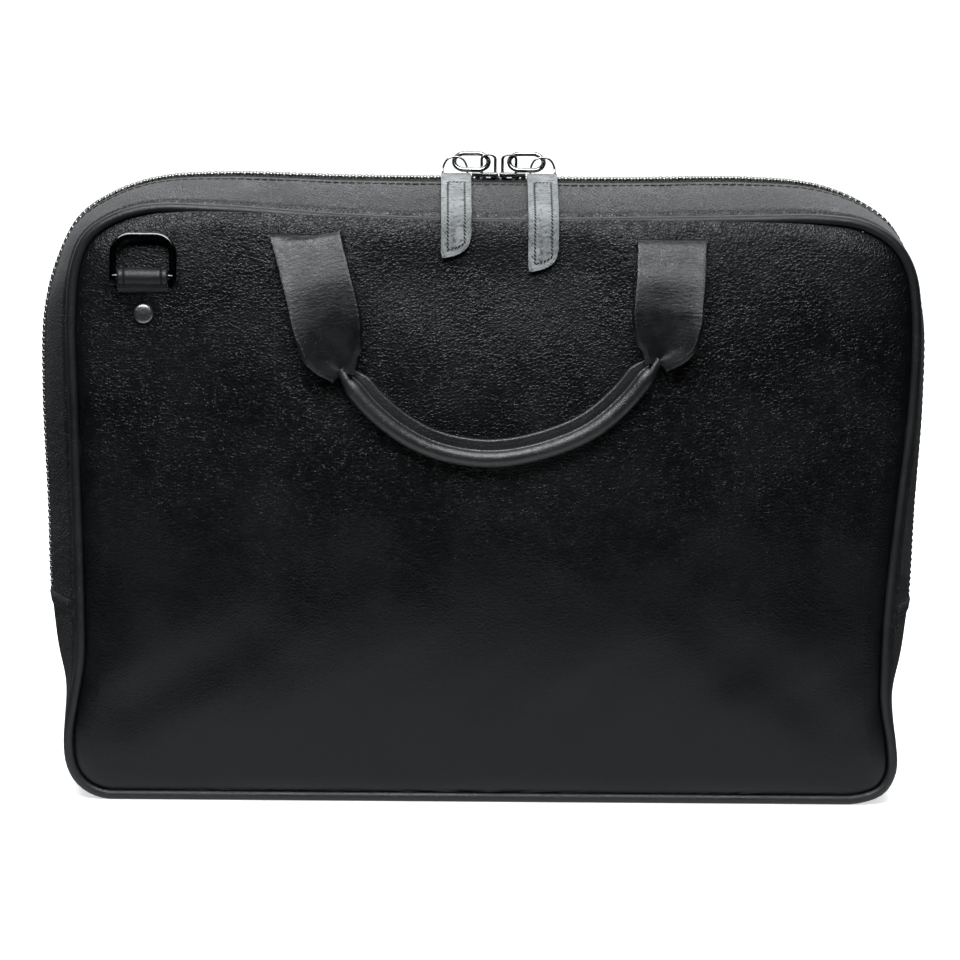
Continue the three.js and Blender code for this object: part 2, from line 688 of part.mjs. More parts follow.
function ringTab() {
  const half = tongueHalf;
  const outer = ringBarRadius + gap + tabLeather;
  const roll = new THREE.Shape();
  roll.absarc(ringBarY, ringBarZ, outer, 0, 2 * Math.PI, false);
  const hole = new THREE.Path();
  hole.absarc(ringBarY, ringBarZ, ringBarRadius + gap, 0, 2 * Math.PI, true);
  roll.holes.push(hole);
  const line = [
    [ringBarY, ringBarZ - outer + tongueThickness / 2],
    [ringBarY + outer / 2, tongueSlitZ],
    [tongueY(tongueSlitZ), tongueSlitZ],
    [tongueY(tongueSlitZ) + gap, tongueSlitZ - tongueThickness],
    [tongueY(tongueEndZ), tongueEndZ],
  ];
  const tongue = ribbon(line, tongueThickness, ringX - half, ringX + half);
  const channel = new THREE.Shape();
  channel.absarc(ringBarY, ringBarZ, ringBarRadius + gap, 0, 2 * Math.PI, false);
  return extrudeAcross(roll, ringX - half, ringX + half)
    .add(tongue)
    .subtract(extrudeAcross(channel, ringX - 2 * half, ringX + 2 * half))
    .subtract(roundBar(ringX, rivetZ, rivetShank / 2 + gap, -2 * halfDepth, 0, 10));
}

function rivet() {
  const cap = rivetCap / 2;
  const front = panelReach(ringX, rivetZ, cap, Math.min) - 2 * gap;
  const back = Math.max(tongueY(tongueSlitZ) + gap, tongueY(tongueEndZ)) + tongueThickness / 2 + gap;
  const long = back - front;
  const shank = rivetShank / 2;
  const profile = [
    [0, -rivetCapHeight],
    [cap * 0.6, -rivetCapHeight * 0.85],
    [cap, -rivetCapHeight * 0.25],
    [cap, 0],
    [shank, 0],
    [shank, long],
    [cap, long],
    [cap, long + rivetCapHeight],
    [0, long + rivetCapHeight],
  ].map(([r, y]) => new THREE.Vector2(r, y));
  const geometry = new THREE.LatheGeometry(profile, 14);
  geometry.translate(ringX, front, rivetZ);
  return toSolid(geometry);
}

const chainTop = topZ("zip", slidersMeetX);
const plateLow = chainTop + gap;
const plateTop = plateLow + sliderPlate;
const linkHalf = linkLength / 2 - linkWire / 2;
const linkShort = linkWidth / 2 - linkWire / 2;
const linkTilt = THREE.MathUtils.degToRad(linkTiltDeg);
const linkZ = plateTop + gap + linkWire * 0.75 + linkShort * Math.sin(linkTilt);

// A slider stands side by side with the other one: side is -1 for the left one and 1 for the right one.
const sliderX = (side) => slidersMeetX + side * (sliderLength / 2 + gap);
const bailX = (side) => slidersMeetX + side * (bailLength / 2 + bailFromMiddle);
const linkX = (side) => bailX(side) + side * linkHalf;
const postX = (side) => sliderX(side) - side * (sliderLength / 2 - postFromNose);

function sliderPost(side, grow) {
  const radius = chainWidth / 5 + grow;
  const bar = new THREE.CylinderGeometry(radius, radius, chainThickness + 2 * sliderPlate, 8);
  bar.rotateX(Math.PI / 2);
  bar.translate(postX(side), 0, chainTop - chainThickness / 2);
  return toSolid(bar);
}

function slider(side) {
  const x = sliderX(side);
  const long = sliderLength / 2;
  const wide = sliderWidth / 2;
  const nose = 0.55 * wide;
  const outline = new THREE.Shape([
    new THREE.Vector2(-long, -nose),
    new THREE.Vector2(-0.2 * long, -wide * 0.8),
    new THREE.Vector2(0.6 * long, -wide),
    new THREE.Vector2(long, -wide * 0.7),
    new THREE.Vector2(long, wide * 0.7),
    new THREE.Vector2(0.6 * long, wide),
    new THREE.Vector2(-0.2 * long, wide * 0.8),
    new THREE.Vector2(-long, nose),
  ]);
  const plate = (z) => {
    const geometry = new THREE.ExtrudeGeometry(outline, { depth: sliderPlate, bevelEnabled: false });
    geometry.scale(-side, 1, 1);
    geometry.translate(x, 0, z);
    return toSolid(geometry);
  };
  const half = bailLength / 2;
  const bail = new THREE.Shape();
  bail.moveTo(-half, -sliderPlate / 2);
  bail.lineTo(half, -sliderPlate / 2);
  bail.lineTo(half, bailHeight - half * 0.6);
  bail.absellipse(0, bailHeight - half * 0.6, half, half * 0.6, 0, Math.PI, false);
  const eye = new THREE.Path();
  const inner = half - bailBand;
  eye.moveTo(-inner, 0);
  eye.lineTo(-inner, bailHeight - half * 0.6);
  eye.absellipse(0, bailHeight - half * 0.6, inner, half * 0.6 - bailBand / 2, Math.PI, 0, true);
  eye.lineTo(inner, 0);
  bail.holes.push(eye);
  const loop = new THREE.ExtrudeGeometry(bail, { depth: bailWidth, bevelEnabled: false, curveSegments: 5 });
  loop.translate(0, 0, -bailWidth / 2);
  loop.rotateX(Math.PI / 2);
  loop.translate(bailX(side), 0, plateTop);
  const low = chainTop - chainThickness - gap - sliderPlate;
  return plate(plateLow).add(plate(low)).add(sliderPost(side, 0)).add(toSolid(loop));
}

// An oval loop whose long side lies along X. It leans back by a tilt.
function pullLink(side) {
  const oval = (half, end) => {
    const path = new THREE.Path();
    path.absarc(half, 0, end, -Math.PI / 2, Math.PI / 2, false);
    path.absarc(-half, 0, end, Math.PI / 2, (3 * Math.PI) / 2, false);
    return path;
  };
  const straight = (linkLength - linkWidth) / 2;
  const shape = new THREE.Shape(oval(straight, linkWidth / 2).getPoints(7));
  shape.holes.push(oval(straight, linkWidth / 2 - linkWire));
  const geometry = new THREE.ExtrudeGeometry(shape, { depth: linkWire, bevelEnabled: false, curveSegments: 7 });
  geometry.translate(0, 0, -linkWire / 2);
  geometry.rotateX(linkTilt);
  geometry.translate(linkX(side), 0, linkZ);
  return toSolid(geometry);
}

const foldRadius = pullWire / 2 + gap + tabThickness / 2;
const wireBarY = -zipOpening / 2 + tabFoldSetBack + foldRadius;
const wireBarZ = chainTop - chainThickness / 2 + foldRadius;
const tabX = (side) => slidersMeetX + side * (tabWidth / 2 + tabApart);
const wireX = (side) => tabX(side) + side * pullWireShift;

// The side view of a pull's wire, from its bar in the tab's fold to the top of its arc.
// up is a share of the wire's height above the zip, back a share of the way to the middle of the case.
const wireRows = [
  { back: 0, up: 0 },
  { back: 0.48, up: 0.08 },
  { back: 0.74, up: 0.3 },
  { back: 0.86, up: 0.6 },
  { back: 0.88, up: 1 },
];

function pullWireSolid(side, grow) {
  const half = tabWidth / 2 - pullWireFromEdge;
  const sideView = new THREE.CatmullRomCurve3(
    wireRows.map(({ back, up }) => new THREE.Vector3(0, wireBarY * (1 - back), wireBarZ + up * pullWireHeight)),
  );
  const at = (x, share) => sideView.getPoint(share).setX(wireX(side) + x);
  const leg = [
    [half, 0],
    [half, 0.25],
    [half, 0.5],
    [0.92 * half, 0.72],
    [0.62 * half, 0.92],
  ];
  const up = leg.map(([x, share]) => at(-x, share));
  const down = leg.toReversed().map(([x, share]) => at(x, share));
  const points = [...up, at(0, 1), ...down];
  const section = circleShape(pullWire / 2 + grow, 6);
  const bar = new THREE.LineCurve3(at(-half - gap, 0), at(half + gap, 0));
  return tube(new THREE.CatmullRomCurve3(points), section, 14).add(tube(bar, section, 1));
}

// A zip pull's tab: it folds over its wire and lies over the gusset and the panel's edge.
function pullTab(side, drop) {
  const x = tabX(side);
  const lay = tabThickness / 2 + flapStandOff;
  const gussetTop = (y) => gussetTopZ(x, y) + lay;
  const lipZ = topZ("seam", x);
  const bendZ = lipZ - tabBend;
  const endZ = lipZ - drop;
  const halfwayZ = (bendZ + endZ) / 2;
  const edgeY = -zipOpening / 2 - tabFoldSetBack;
  const onPanel = (z) => panelReach(x, z, tabWidth / 2, Math.min) - lay;
  const line = [
    [wireBarY, wireBarZ],
    [edgeY, gussetTop(edgeY)],
    [-halfDepth * 0.58, gussetTop(-halfDepth * 0.58)],
    [-halfDepth * 0.8, gussetTop(-halfDepth * 0.8) + gap],
    [-halfDepth - pipingRadius, lipZ + lay + 3 * gap],
    [-panelFace - lay * 0.75, lipZ - 2 * gap],
    [panelY(x, bendZ) - lay - gap, bendZ],
    [onPanel(halfwayZ), halfwayZ],
    [onPanel(endZ), endZ],
  ];
  const fold = new THREE.Shape();
  fold.absarc(wireBarY, wireBarZ, foldRadius, 0, 2 * Math.PI, false);
  const strip = ribbon(line, tabThickness, x - tabWidth / 2, x + tabWidth / 2);
  const end = new THREE.Shape();
  const half = tabWidth / 2;
  end.moveTo(x - half, caseHeight * 2);
  end.lineTo(x - half, endZ + 0.22 * tabWidth);
  end.lineTo(x - half * 0.91, endZ + gap);
  end.quadraticCurveTo(x + half, endZ + 0.12 * tabWidth, x + half, endZ + 0.8 * tabWidth);
  end.lineTo(x + half, caseHeight * 2);
  const mask = new THREE.ExtrudeGeometry(end, { depth: 4 * halfDepth, bevelEnabled: false, curveSegments: 5 });
  mask.rotateX(Math.PI / 2);
  mask.translate(0, halfDepth, 0);
  return strip
    .add(extrudeAcross(fold, x - tabWidth / 2, x + tabWidth / 2))
    .intersect(toSolid(mask))
    .subtract(pullWireSolid(side, gap));
}

// The height of the gusset's outside over a place on the top.
function gussetTopZ(x, y) {
  const rise = Math.sin(((1 - Math.abs(y) / halfDepth) * Math.PI) / 2);
  return topZ("seam", x) + (topZ("zip", x) - topZ("seam", x)) * rise;
}

// One half of the case, with the pieces that both halves have.
function half(side) {
  const group = new THREE.Group();
  group.add(toMesh(side + "_panel", panel(), "leather"));
  group.add(toMesh(side + "_piping", tube(new PipingCurve(), circleShape(pipingRadius, 6), stationCount), "edge"));
  group.add(toMesh(side + "_zip_gusset", zipGusset(), "leather"));
  group.add(toMesh(side + "_zip_tape", zipTape(), "tape"));
  group.add(toMesh(side + "_strap_left", strap(straps.left), "leather"));
  group.add(toMesh(side + "_strap_right", strap(straps.right), "leather"));
  group.add(toMesh(side + "_handle_grip", grip(), "leather"));
  group.add(toMesh(side + "_ring_tab", ringTab(), "leather"));
  group.add(toMesh(side + "_rivet", rivet(), "gunmetal"));
  const ring = toMesh(side + "_d_ring", ringSolid(), "gunmetal");
  ring.position.set(ringX, ringBarY, ringBarZ);
  ring.rotation.x = -THREE.MathUtils.degToRad(ringLeanDeg);
  group.add(ring);
  return group;
}

const documentCase = new THREE.Group();
documentCase.add(half("front"));
const backHalf = half("back");
backHalf.rotation.z = Math.PI;
documentCase.add(backHalf);
documentCase.add(toMesh("bottom_gusset", bottomGusset(), "leather"));
const chain = zipChain().subtract(sliderPost(-1, gap)).subtract(sliderPost(1, gap));
documentCase.add(toMesh("zip_chain", chain, "nickel"));
for (const [name, side, drop] of [
  ["left", -1, leftTabDrop],
  ["right", 1, rightTabDrop],
]) {
  documentCase.add(toMesh(name + "_slider", slider(side), "nickel"));
  documentCase.add(toMesh(name + "_pull_link", pullLink(side), "nickel"));
  documentCase.add(toMesh(name + "_pull_wire", pullWireSolid(side, 0), "nickel"));
  documentCase.add(toMesh(name + "_pull_tab", pullTab(side, drop), "tab"));
}

export default documentCase;
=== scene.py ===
# %% [markdown]
# # A leather document case, built piece by piece
#
# The case is a soft shell: two pebbled panels, a gusset all round, a metal zip, two rolled handles and two
# strap rings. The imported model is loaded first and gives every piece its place. Each leather piece is then
# made as a maker would: a flat sheet is cut, bent to shape, given its thickness and stitched.

# %% The frame
import math

import bpy
import numpy as np
from mathutils import Matrix, Vector


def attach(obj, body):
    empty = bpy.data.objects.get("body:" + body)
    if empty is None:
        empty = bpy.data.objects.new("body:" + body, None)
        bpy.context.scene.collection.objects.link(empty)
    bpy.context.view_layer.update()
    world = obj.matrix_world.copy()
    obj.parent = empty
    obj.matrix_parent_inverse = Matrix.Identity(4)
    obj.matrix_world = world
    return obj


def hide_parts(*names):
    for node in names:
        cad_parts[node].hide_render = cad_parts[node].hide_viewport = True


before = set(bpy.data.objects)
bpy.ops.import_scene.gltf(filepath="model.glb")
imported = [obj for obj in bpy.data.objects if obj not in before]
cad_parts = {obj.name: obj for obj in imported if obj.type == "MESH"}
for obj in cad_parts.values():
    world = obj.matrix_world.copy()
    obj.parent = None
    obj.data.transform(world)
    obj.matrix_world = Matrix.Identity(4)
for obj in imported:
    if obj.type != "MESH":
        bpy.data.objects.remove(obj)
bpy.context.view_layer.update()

mm = 0.001

# %% [markdown]
# ## Tools
#
# A few helpers do what the hands do most: lay a flat grid and bend it, roll a sheet into a tube, give a
# sheet its thickness, and put out many copies of one small thing. Every finished piece keeps its place in
# its mesh, so its object stays at the origin.

# %% Selecting and finishing
def clear_selection():
    if bpy.context.object and bpy.context.object.mode != "OBJECT":
        bpy.ops.object.mode_set(mode="OBJECT")
    bpy.ops.object.select_all(action="DESELECT")


def pick(piece):
    clear_selection()
    piece.select_set(True)
    bpy.context.view_layer.objects.active = piece


def select_faces(piece, chosen):
    """Selects, in edit mode, the faces for which chosen(face) is true."""
    pick(piece)
    bpy.ops.object.mode_set(mode="EDIT")
    bpy.ops.mesh.select_mode(type="FACE")
    bpy.ops.mesh.select_all(action="DESELECT")
    bpy.ops.object.mode_set(mode="OBJECT")
    for face in piece.data.polygons:
        face.select = chosen(face)
    bpy.ops.object.mode_set(mode="EDIT")


def apply_modifier(piece, kind, **settings):
    pick(piece)
    modifier = piece.modifiers.new(kind.lower(), kind)
    for name, value in settings.items():
        setattr(modifier, name, value)
    bpy.ops.object.modifier_apply(modifier=modifier.name)


def smooth(piece, degrees=50):
    pick(piece)
    bpy.ops.object.shade_smooth_by_angle(angle=math.radians(degrees))


def corners_of(piece):
    flat = np.empty(len(piece.data.vertices) * 3)
    piece.data.vertices.foreach_get("co", flat)
    return flat.reshape(-1, 3)


def move_corners(piece, points):
    piece.data.vertices.foreach_set("co", np.ascontiguousarray(points, dtype=float).ravel())
    piece.data.update()


def close_up(piece, distance=0.02 * mm):
    """Merges a rolled sheet's seam, closes its ends and turns its faces outwards."""
    pick(piece)
    bpy.ops.object.mode_set(mode="EDIT")
    bpy.ops.mesh.select_all(action="SELECT")
    bpy.ops.mesh.remove_doubles(threshold=distance)
    bpy.ops.mesh.fill_holes(sides=0)
    bpy.ops.mesh.select_all(action="SELECT")
    bpy.ops.mesh.normals_make_consistent(inside=False)
    bpy.ops.object.mode_set(mode="OBJECT")


# %% Sheets, rolls and cords
def lay_sheet(name, columns, rows, place):
    """A flat grid whose corners go to place(u, v), with u and v from 0 to 1."""
    clear_selection()
    bpy.ops.mesh.primitive_grid_add(x_subdivisions=columns, y_subdivisions=rows, size=1, location=(0, 0, 0))
    piece = bpy.context.object
    piece.name = piece.data.name = name
    flat = corners_of(piece)
    move_corners(piece, place(flat[:, 0] + 0.5, flat[:, 1] + 0.5))
    return piece


def unit(vectors):
    return vectors / np.maximum(np.linalg.norm(vectors, axis=1, keepdims=True), 1e-12)


def sample(line, share):
    """The points of a line at shares of its length, from 0 to 1."""
    line = np.asarray(line, float)
    run = np.concatenate([[0], np.cumsum(np.linalg.norm(np.diff(line, axis=0), axis=1))])
    places = np.asarray(share) * run[-1]
    return np.stack([np.interp(places, run, line[:, i]) for i in range(line.shape[1])], 1)


def roll_along(name, path, profile, forward, steps, around, size=lambda v: 1 + 0 * v):
    """A closed profile of (forward, side) pairs carried along a path, at a size that may change along it."""
    path = np.asarray(path, float)
    profile = np.asarray(profile, float)
    loop = np.vstack([profile, profile[:1]])
    closed = np.linalg.norm(path[0] - path[-1]) < 1e-6

    def place(u, v):
        centre = sample(path, v)
        near = 0.4 / steps
        low, high = v - near, v + near
        if closed:
            low, high = low % 1, high % 1
        along = unit(sample(path, np.clip(high, 0, 1)) - sample(path, np.clip(low, 0, 1)))
        ahead = np.tile(np.asarray(forward, float), (len(u), 1))
        ahead = unit(ahead - along * (ahead * along).sum(1, keepdims=True))
        side = np.cross(along, ahead)
        spot = sample(loop, u) * size(v)[:, None]
        return centre + ahead * spot[:, :1] + side * spot[:, 1:2]

    piece = lay_sheet(name, around, steps, place)
    close_up(piece)
    smooth(piece)
    return piece


def round_profile(radius, sides):
    turn = np.arange(sides) / sides * 2 * math.pi
    return np.stack([np.cos(turn), np.sin(turn)], 1) * radius


def copies(master, name, places):
    """Puts out a copy of one small thing, with its own mesh, at each place, and joins them."""
    made = []
    for place in places:
        copy = master.copy()
        copy.data = master.data.copy()
        copy.data.transform(place)
        bpy.context.scene.collection.objects.link(copy)
        made.append(copy)
    clear_selection()
    for copy in made:
        copy.select_set(True)
    bpy.context.view_layer.objects.active = made[0]
    bpy.ops.object.join()
    made[0].name = made[0].data.name = name
    bpy.data.objects.remove(master)
    return made[0]


def turned_copy(piece, name):
    """The back of the case is the front turned half a turn."""
    pick(piece)
    bpy.ops.object.duplicate()
    copy = bpy.context.object
    copy.name = copy.data.name = name
    bpy.ops.transform.rotate(value=math.pi, orient_axis="Z", center_override=(0, 0, 0))
    bpy.ops.object.transform_apply(location=True, rotation=True, scale=True)
    return copy


print("Tools are ready")

# %% [markdown]
# ## The outline
#
# Everything follows two closed lines: the seam between panel and gusset, and the zip's line halfway back.
# They are drawn as smooth curves through a few measured places, clockwise from the middle of the bottom.
# The case is slack at its foot and slightly taller on the left, so the two sides aren't mirror images.

# %% The two lines
half_width, height, half_depth = 203 * mm, 287 * mm, 35 * mm
leather, gap, piping_radius = 2 * mm, 0.3 * mm, 2 * mm
piping_inset = piping_radius + gap
zip_half, chain_half, chain_thickness = 9 * mm, 3 * mm, 3 * mm

# seam x, seam z, zip x, zip z, and how far the panel's lip stays inside the piping
rows = np.array([
    (0, 0, 0, 0, 1), (-0.3, 0, -0.3, 0, 1), (-0.64, 0, -0.64, 0, 1), (-0.85, 0, -0.85, 0, 1),
    (-0.908, 0.019, -0.911, 0.014, 1), (-0.938, 0.052, -0.948, 0.049, 1), (-0.945, 0.105, -0.951, 0.111, 1),
    (-0.932, 0.167, -0.953, 0.167, 1), (-0.918, 0.23, -0.97, 0.23, 1), (-0.917, 0.317, -0.985, 0.317, 1),
    (-0.922, 0.47, -0.991, 0.47, 1), (-0.928, 0.645, -1, 0.645, 1), (-0.932, 0.784, -0.995, 0.774, 1),
    (-0.921, 0.864, -0.968, 0.854, 1), (-0.892, 0.913, -0.916, 0.927, 1), (-0.837, 0.943, -0.842, 0.965, 1),
    (-0.749, 0.962, -0.739, 0.991, 0.95), (-0.591, 0.962, -0.586, 1, 0.5), (-0.3, 0.95, -0.3, 0.997, 0.1),
    (0, 0.945, 0, 0.997, 0.1), (0.3, 0.949, 0.3, 0.997, 0.1), (0.591, 0.954, 0.586, 1, 0.5),
    (0.739, 0.956, 0.739, 0.991, 0.95), (0.842, 0.946, 0.842, 0.965, 1), (0.916, 0.915, 0.916, 0.927, 1),
    (0.956, 0.868, 0.968, 0.854, 1), (0.973, 0.784, 0.995, 0.774, 1), (0.97, 0.645, 1, 0.645, 1),
    (0.948, 0.47, 0.991, 0.47, 1), (0.931, 0.317, 0.985, 0.317, 1), (0.928, 0.23, 0.97, 0.23, 1),
    (0.93, 0.167, 0.953, 0.167, 1), (0.946, 0.105, 0.951, 0.111, 1), (0.949, 0.052, 0.948, 0.049, 1),
    (0.921, 0.017, 0.911, 0.014, 1), (0.85, 0, 0.85, 0, 1), (0.64, 0, 0.64, 0, 1), (0.3, 0, 0.3, 0, 1),
])
row_count = len(rows)
seam_rows = rows[:, 0:2] * (half_width, height)
zip_rows = rows[:, 2:4] * (half_width, height)
left_hem, right_hem = 9, 29


def curve_point(p0, p1, p2, p3, w):
    """A point between p1 and p2 on a smooth curve through four points, spaced by the root of their distance."""
    d0, d1, d2 = (
        np.sqrt(np.maximum(np.linalg.norm(b - a, axis=1, keepdims=True), 1e-9))
        for a, b in ((p0, p1), (p1, p2), (p2, p3))
    )
    m1 = ((p1 - p0) / d0 - (p2 - p0) / (d0 + d1) + (p2 - p1) / d1) * d1
    m2 = ((p2 - p1) / d1 - (p3 - p1) / (d1 + d2) + (p3 - p2) / d2) * d1
    return p1 + m1 * w + (3 * (p2 - p1) - 2 * m1 - m2) * w**2 + (2 * (p1 - p2) + m1 + m2) * w**3


def on_line(line, t):
    """Points of a closed line at row numbers t, never below the floor."""
    low = np.floor(t).astype(int)
    corners = [line[(low + k) % row_count] for k in (-1, 0, 1, 2)]
    points = curve_point(*corners, (t - low)[:, None])
    points[:, 1] = np.maximum(points[:, 1], 0)
    return points


def inward(line, t):
    along = unit(on_line(line, t + 0.08) - on_line(line, t - 0.08))
    return np.stack([along[:, 1], -along[:, 0]], 1)


def evenly(line, start, end, count):
    """Row numbers of count + 1 places at equal steps along a line."""
    t = np.linspace(start, end, 1500)
    run = np.concatenate([[0], np.cumsum(np.linalg.norm(np.diff(on_line(line, t), axis=0), axis=1))])
    return np.interp(np.linspace(0, run[-1], count + 1), run, t)


def through(points, count):
    """A smooth open line through points."""
    points = np.asarray(points, float)
    padded = np.vstack([2 * points[0] - points[1], points, 2 * points[-1] - points[-2]])
    t = np.linspace(0, len(points) - 1 - 1e-9, count)
    low = t.astype(int)
    return curve_point(*(padded[low + k] for k in range(4)), (t - low)[:, None])


top_t = np.linspace(12, 26, 800)
seam_top = on_line(seam_rows, top_t)
zip_top = on_line(zip_rows, top_t)


def seam_z(x):
    return np.interp(x, seam_top[:, 0], seam_top[:, 1])


def zip_z(x):
    return np.interp(x, zip_top[:, 0], zip_top[:, 1])


whole_zip = on_line(zip_rows, np.linspace(left_hem, right_hem, 900))
zip_length = np.linalg.norm(np.diff(whole_zip, axis=0), axis=1).sum()
print("The zip runs", round(zip_length, 3), "m over the top")

# %% [markdown]
# ## The shape of a panel
#
# A panel is one piece of soft leather, sewn in all round and pushed out by what the case has carried. Its
# edge rolls over the piping, its middle swells, and it is pulled in where the straps and the ring are sewn
# on. One function gives the height of its face at any place, so that whatever lies on it can ask for it.

# %% The panel's face
panel_face = half_depth + piping_radius + gap + leather
belly, low_belly, crown = 9 * mm, 3 * mm, 2.6
middle_z = height / 2
roll_width = 9 * mm
ring_x, ring_z, ring_y = -153.7 * mm, 245 * mm, -47.181 * mm
slit_middle, handle_span, slit_below_seam = 1.15 * mm, 163.7 * mm, 13.3 * mm
slit_x = {"left": slit_middle - handle_span / 2, "right": slit_middle + handle_span / 2}

# x and z of the two ends, how far a fold spreads (shares of half the width and of the height), and its rise
# as a share of the belly
folds = [
    (-0.48, 0.9, -0.32, 0.9, 0.05, 0.16), (0.33, 0.9, 0.49, 0.9, 0.05, 0.16),
    (-0.2, 0.86, 0.2, 0.86, 0.08, -0.18),
    (-0.51, 0.26, -0.78, 0.16, 0.06, -0.2), (0.58, 0.24, 0.82, 0.12, 0.06, -0.2),
    (-0.8, 0.72, -0.6, 0.62, 0.09, -0.12), (0.86, 0.3, 0.9, 0.17, 0.04, -0.14),
]
rim_t = np.linspace(0, row_count, 1200, endpoint=False)


def lip_share(t):
    return np.interp(t % row_count, np.arange(row_count + 1), np.append(rows[:, 4], rows[0, 4]))


def rim_point(t, more=0.0):
    """The panel's raw edge, or a place farther in from it."""
    inset = gap + lip_share(t) * (2 * piping_radius + gap)
    return on_line(seam_rows, t) + inward(seam_rows, t) * (inset + more)[:, None]


rim = rim_point(rim_t, 0 * rim_t)
rim_past = np.maximum(gap + lip_share(rim_t) * (2 * piping_radius + gap) - piping_inset, 0)
rim_depth = half_depth + np.sqrt(np.maximum(piping_inset**2 - rim_past**2, 0))
lip_line = rim_point(rim_t, 0 * rim_t + 1.2 * mm)
lip_angle = np.arctan2(lip_line[:, 1] - middle_z, lip_line[:, 0])
order = np.argsort(lip_angle)
lip_reach = np.hypot(lip_line[:, 0], lip_line[:, 1] - middle_z)[order]
lip_angle = lip_angle[order]


def swell(x, z):
    reach = np.interp(np.arctan2(z - middle_z, x), lip_angle, lip_reach, period=2 * math.pi)
    share = np.clip(1 - np.hypot(x, z - middle_z) / reach, 0, 1)
    low = np.minimum(1 - z / height, 1)
    tall = belly + low_belly * np.sin(low * math.pi * 0.75)
    dents = 0 * x
    for x0, z0, x1, z1, spread, rise in folds:
        a, b = np.array([x0 * half_width, z0 * height]), np.array([(x1 - x0) * half_width, (z1 - z0) * height])
        along = np.clip(((x - a[0]) * b[0] + (z - a[1]) * b[1]) / (b @ b), 0, 1)
        away = np.hypot(x - a[0] - b[0] * along, z - a[1] - b[1] * along) / (spread * height)
        dents += rise * belly * np.exp(-(away**2))
    return tall * (1 - (1 - share) ** crown) + dents * np.minimum(share / 0.17, 1)


def bump(x, z, at_x, at_z, wide, tall):
    return np.exp(-(((x - at_x) / wide) ** 2) - ((z - at_z) / tall) ** 2)


def slackness(x, z):
    """A worn panel's unevenness: long shallow waves, dents round what is sewn on, a raised slit lip."""
    uneven = 0.5 * np.sin(x / (17 * mm) + 1.3 * np.sin(z / (31 * mm))) * np.sin(z / (23 * mm) + 0.7)
    uneven += 0.22 * np.sin(x / (8.1 * mm) + 2 * np.sin(z / (19 * mm)) + 1) * np.sin(z / (10.7 * mm) - 0.4)
    uneven += 0.55 * bump(x, z, ring_x, ring_z - 7.6 * mm, 12.5 * mm, 1.5 * mm)
    uneven -= 0.7 * bump(x, z, ring_x, ring_z - 17.3 * mm, 7 * mm, 6 * mm)
    for side in slit_x.values():
        uneven -= 0.8 * bump(x, z, side, seam_z(side) - slit_below_seam - 5 * mm, 22 * mm, 7 * mm)
        uneven += 0.35 * bump(x, z, side, seam_z(side) - slit_below_seam - 45 * mm, 17 * mm, 30 * mm)
    return uneven * mm


def panel_y(x, z):
    """The y of the front panel's face."""
    x, z = np.atleast_1d(np.asarray(x, float)), np.atleast_1d(np.asarray(z, float))
    y = np.empty(len(x))
    for start in range(0, len(x), 2000):
        part = slice(start, start + 2000)
        distance = np.hypot(x[part, None] - rim[:, 0], z[part, None] - rim[:, 1])
        nearest = distance.argmin(1)
        edge = rim_depth[nearest]
        inside = np.minimum(distance[np.arange(len(nearest)), nearest] / roll_width, 1)
        roll = np.sqrt(np.maximum(1 - (1 - inside) ** 2, 0))
        face = panel_face + swell(x[part], z[part]) + slackness(x[part], z[part]) * inside
        y[part] = -(edge + (face - edge) * roll)
    return y


def reach(x, z, half, pick_one=np.min):
    """The foremost y of the panel across a strip."""
    x, z = np.broadcast_arrays(np.atleast_1d(np.asarray(x, float)), np.atleast_1d(np.asarray(z, float)))
    return pick_one([panel_y(x + half * share, z) for share in (-1, -0.5, 0, 0.5, 1)], axis=0)


print("The panel stands out to", round(float(panel_y(0, 0.1)[0]) * 1000, 1), "mm at its belly")

# %% [markdown]
# ## Leather panels
#
# A grid is laid over the panel's face. Its outer rows follow the raw edge in closer and closer rings, so that
# the rolled lip is smooth, and the inner rows fill the middle evenly. The sheet then gets its 2 mm thickness.

# %% Front and back panel
panel_columns, panel_rows = 112, 76
ring_insets = np.array([0, 0.35, 0.9, 1.8, 3.2, 5.2, 8]) * mm
border = len(ring_insets) - 1
side_rows = {"bottom": (4.6, -4.6), "top": (14, 24), "left": (4.6, 14), "right": (33.4, 24)}
side_lines = {side: evenly(seam_rows, *ends, 400) for side, ends in side_rows.items()}


def side_point(side, share, inset):
    t = np.interp(share, np.linspace(0, 1, 401), side_lines[side])
    return rim_point(t, inset)


def panel_place(u, v):
    i, j = np.rint(u * panel_columns), np.rint(v * panel_rows)
    ring = np.minimum(np.minimum(i, panel_columns - i), np.minimum(j, panel_rows - j))
    ring = np.minimum(ring, border)
    inset = ring_insets[ring.astype(int)]
    across = (i - ring) / (panel_columns - 2 * ring)
    up = (j - ring) / (panel_rows - 2 * ring)
    bottom, top = side_point("bottom", across, inset), side_point("top", across, inset)
    left, right = side_point("left", up, inset), side_point("right", up, inset)
    low_left, low_right = side_point("bottom", 0 * u, inset), side_point("bottom", 0 * u + 1, inset)
    top_left, top_right = side_point("top", 0 * u, inset), side_point("top", 0 * u + 1, inset)
    a, b = across[:, None], up[:, None]
    flat = (1 - b) * bottom + b * top + (1 - a) * left + a * right
    flat -= (1 - a) * (1 - b) * low_left + a * (1 - b) * low_right + (1 - a) * b * top_left + a * b * top_right
    return np.stack([flat[:, 0], panel_y(flat[:, 0], flat[:, 1]), flat[:, 1]], 1)


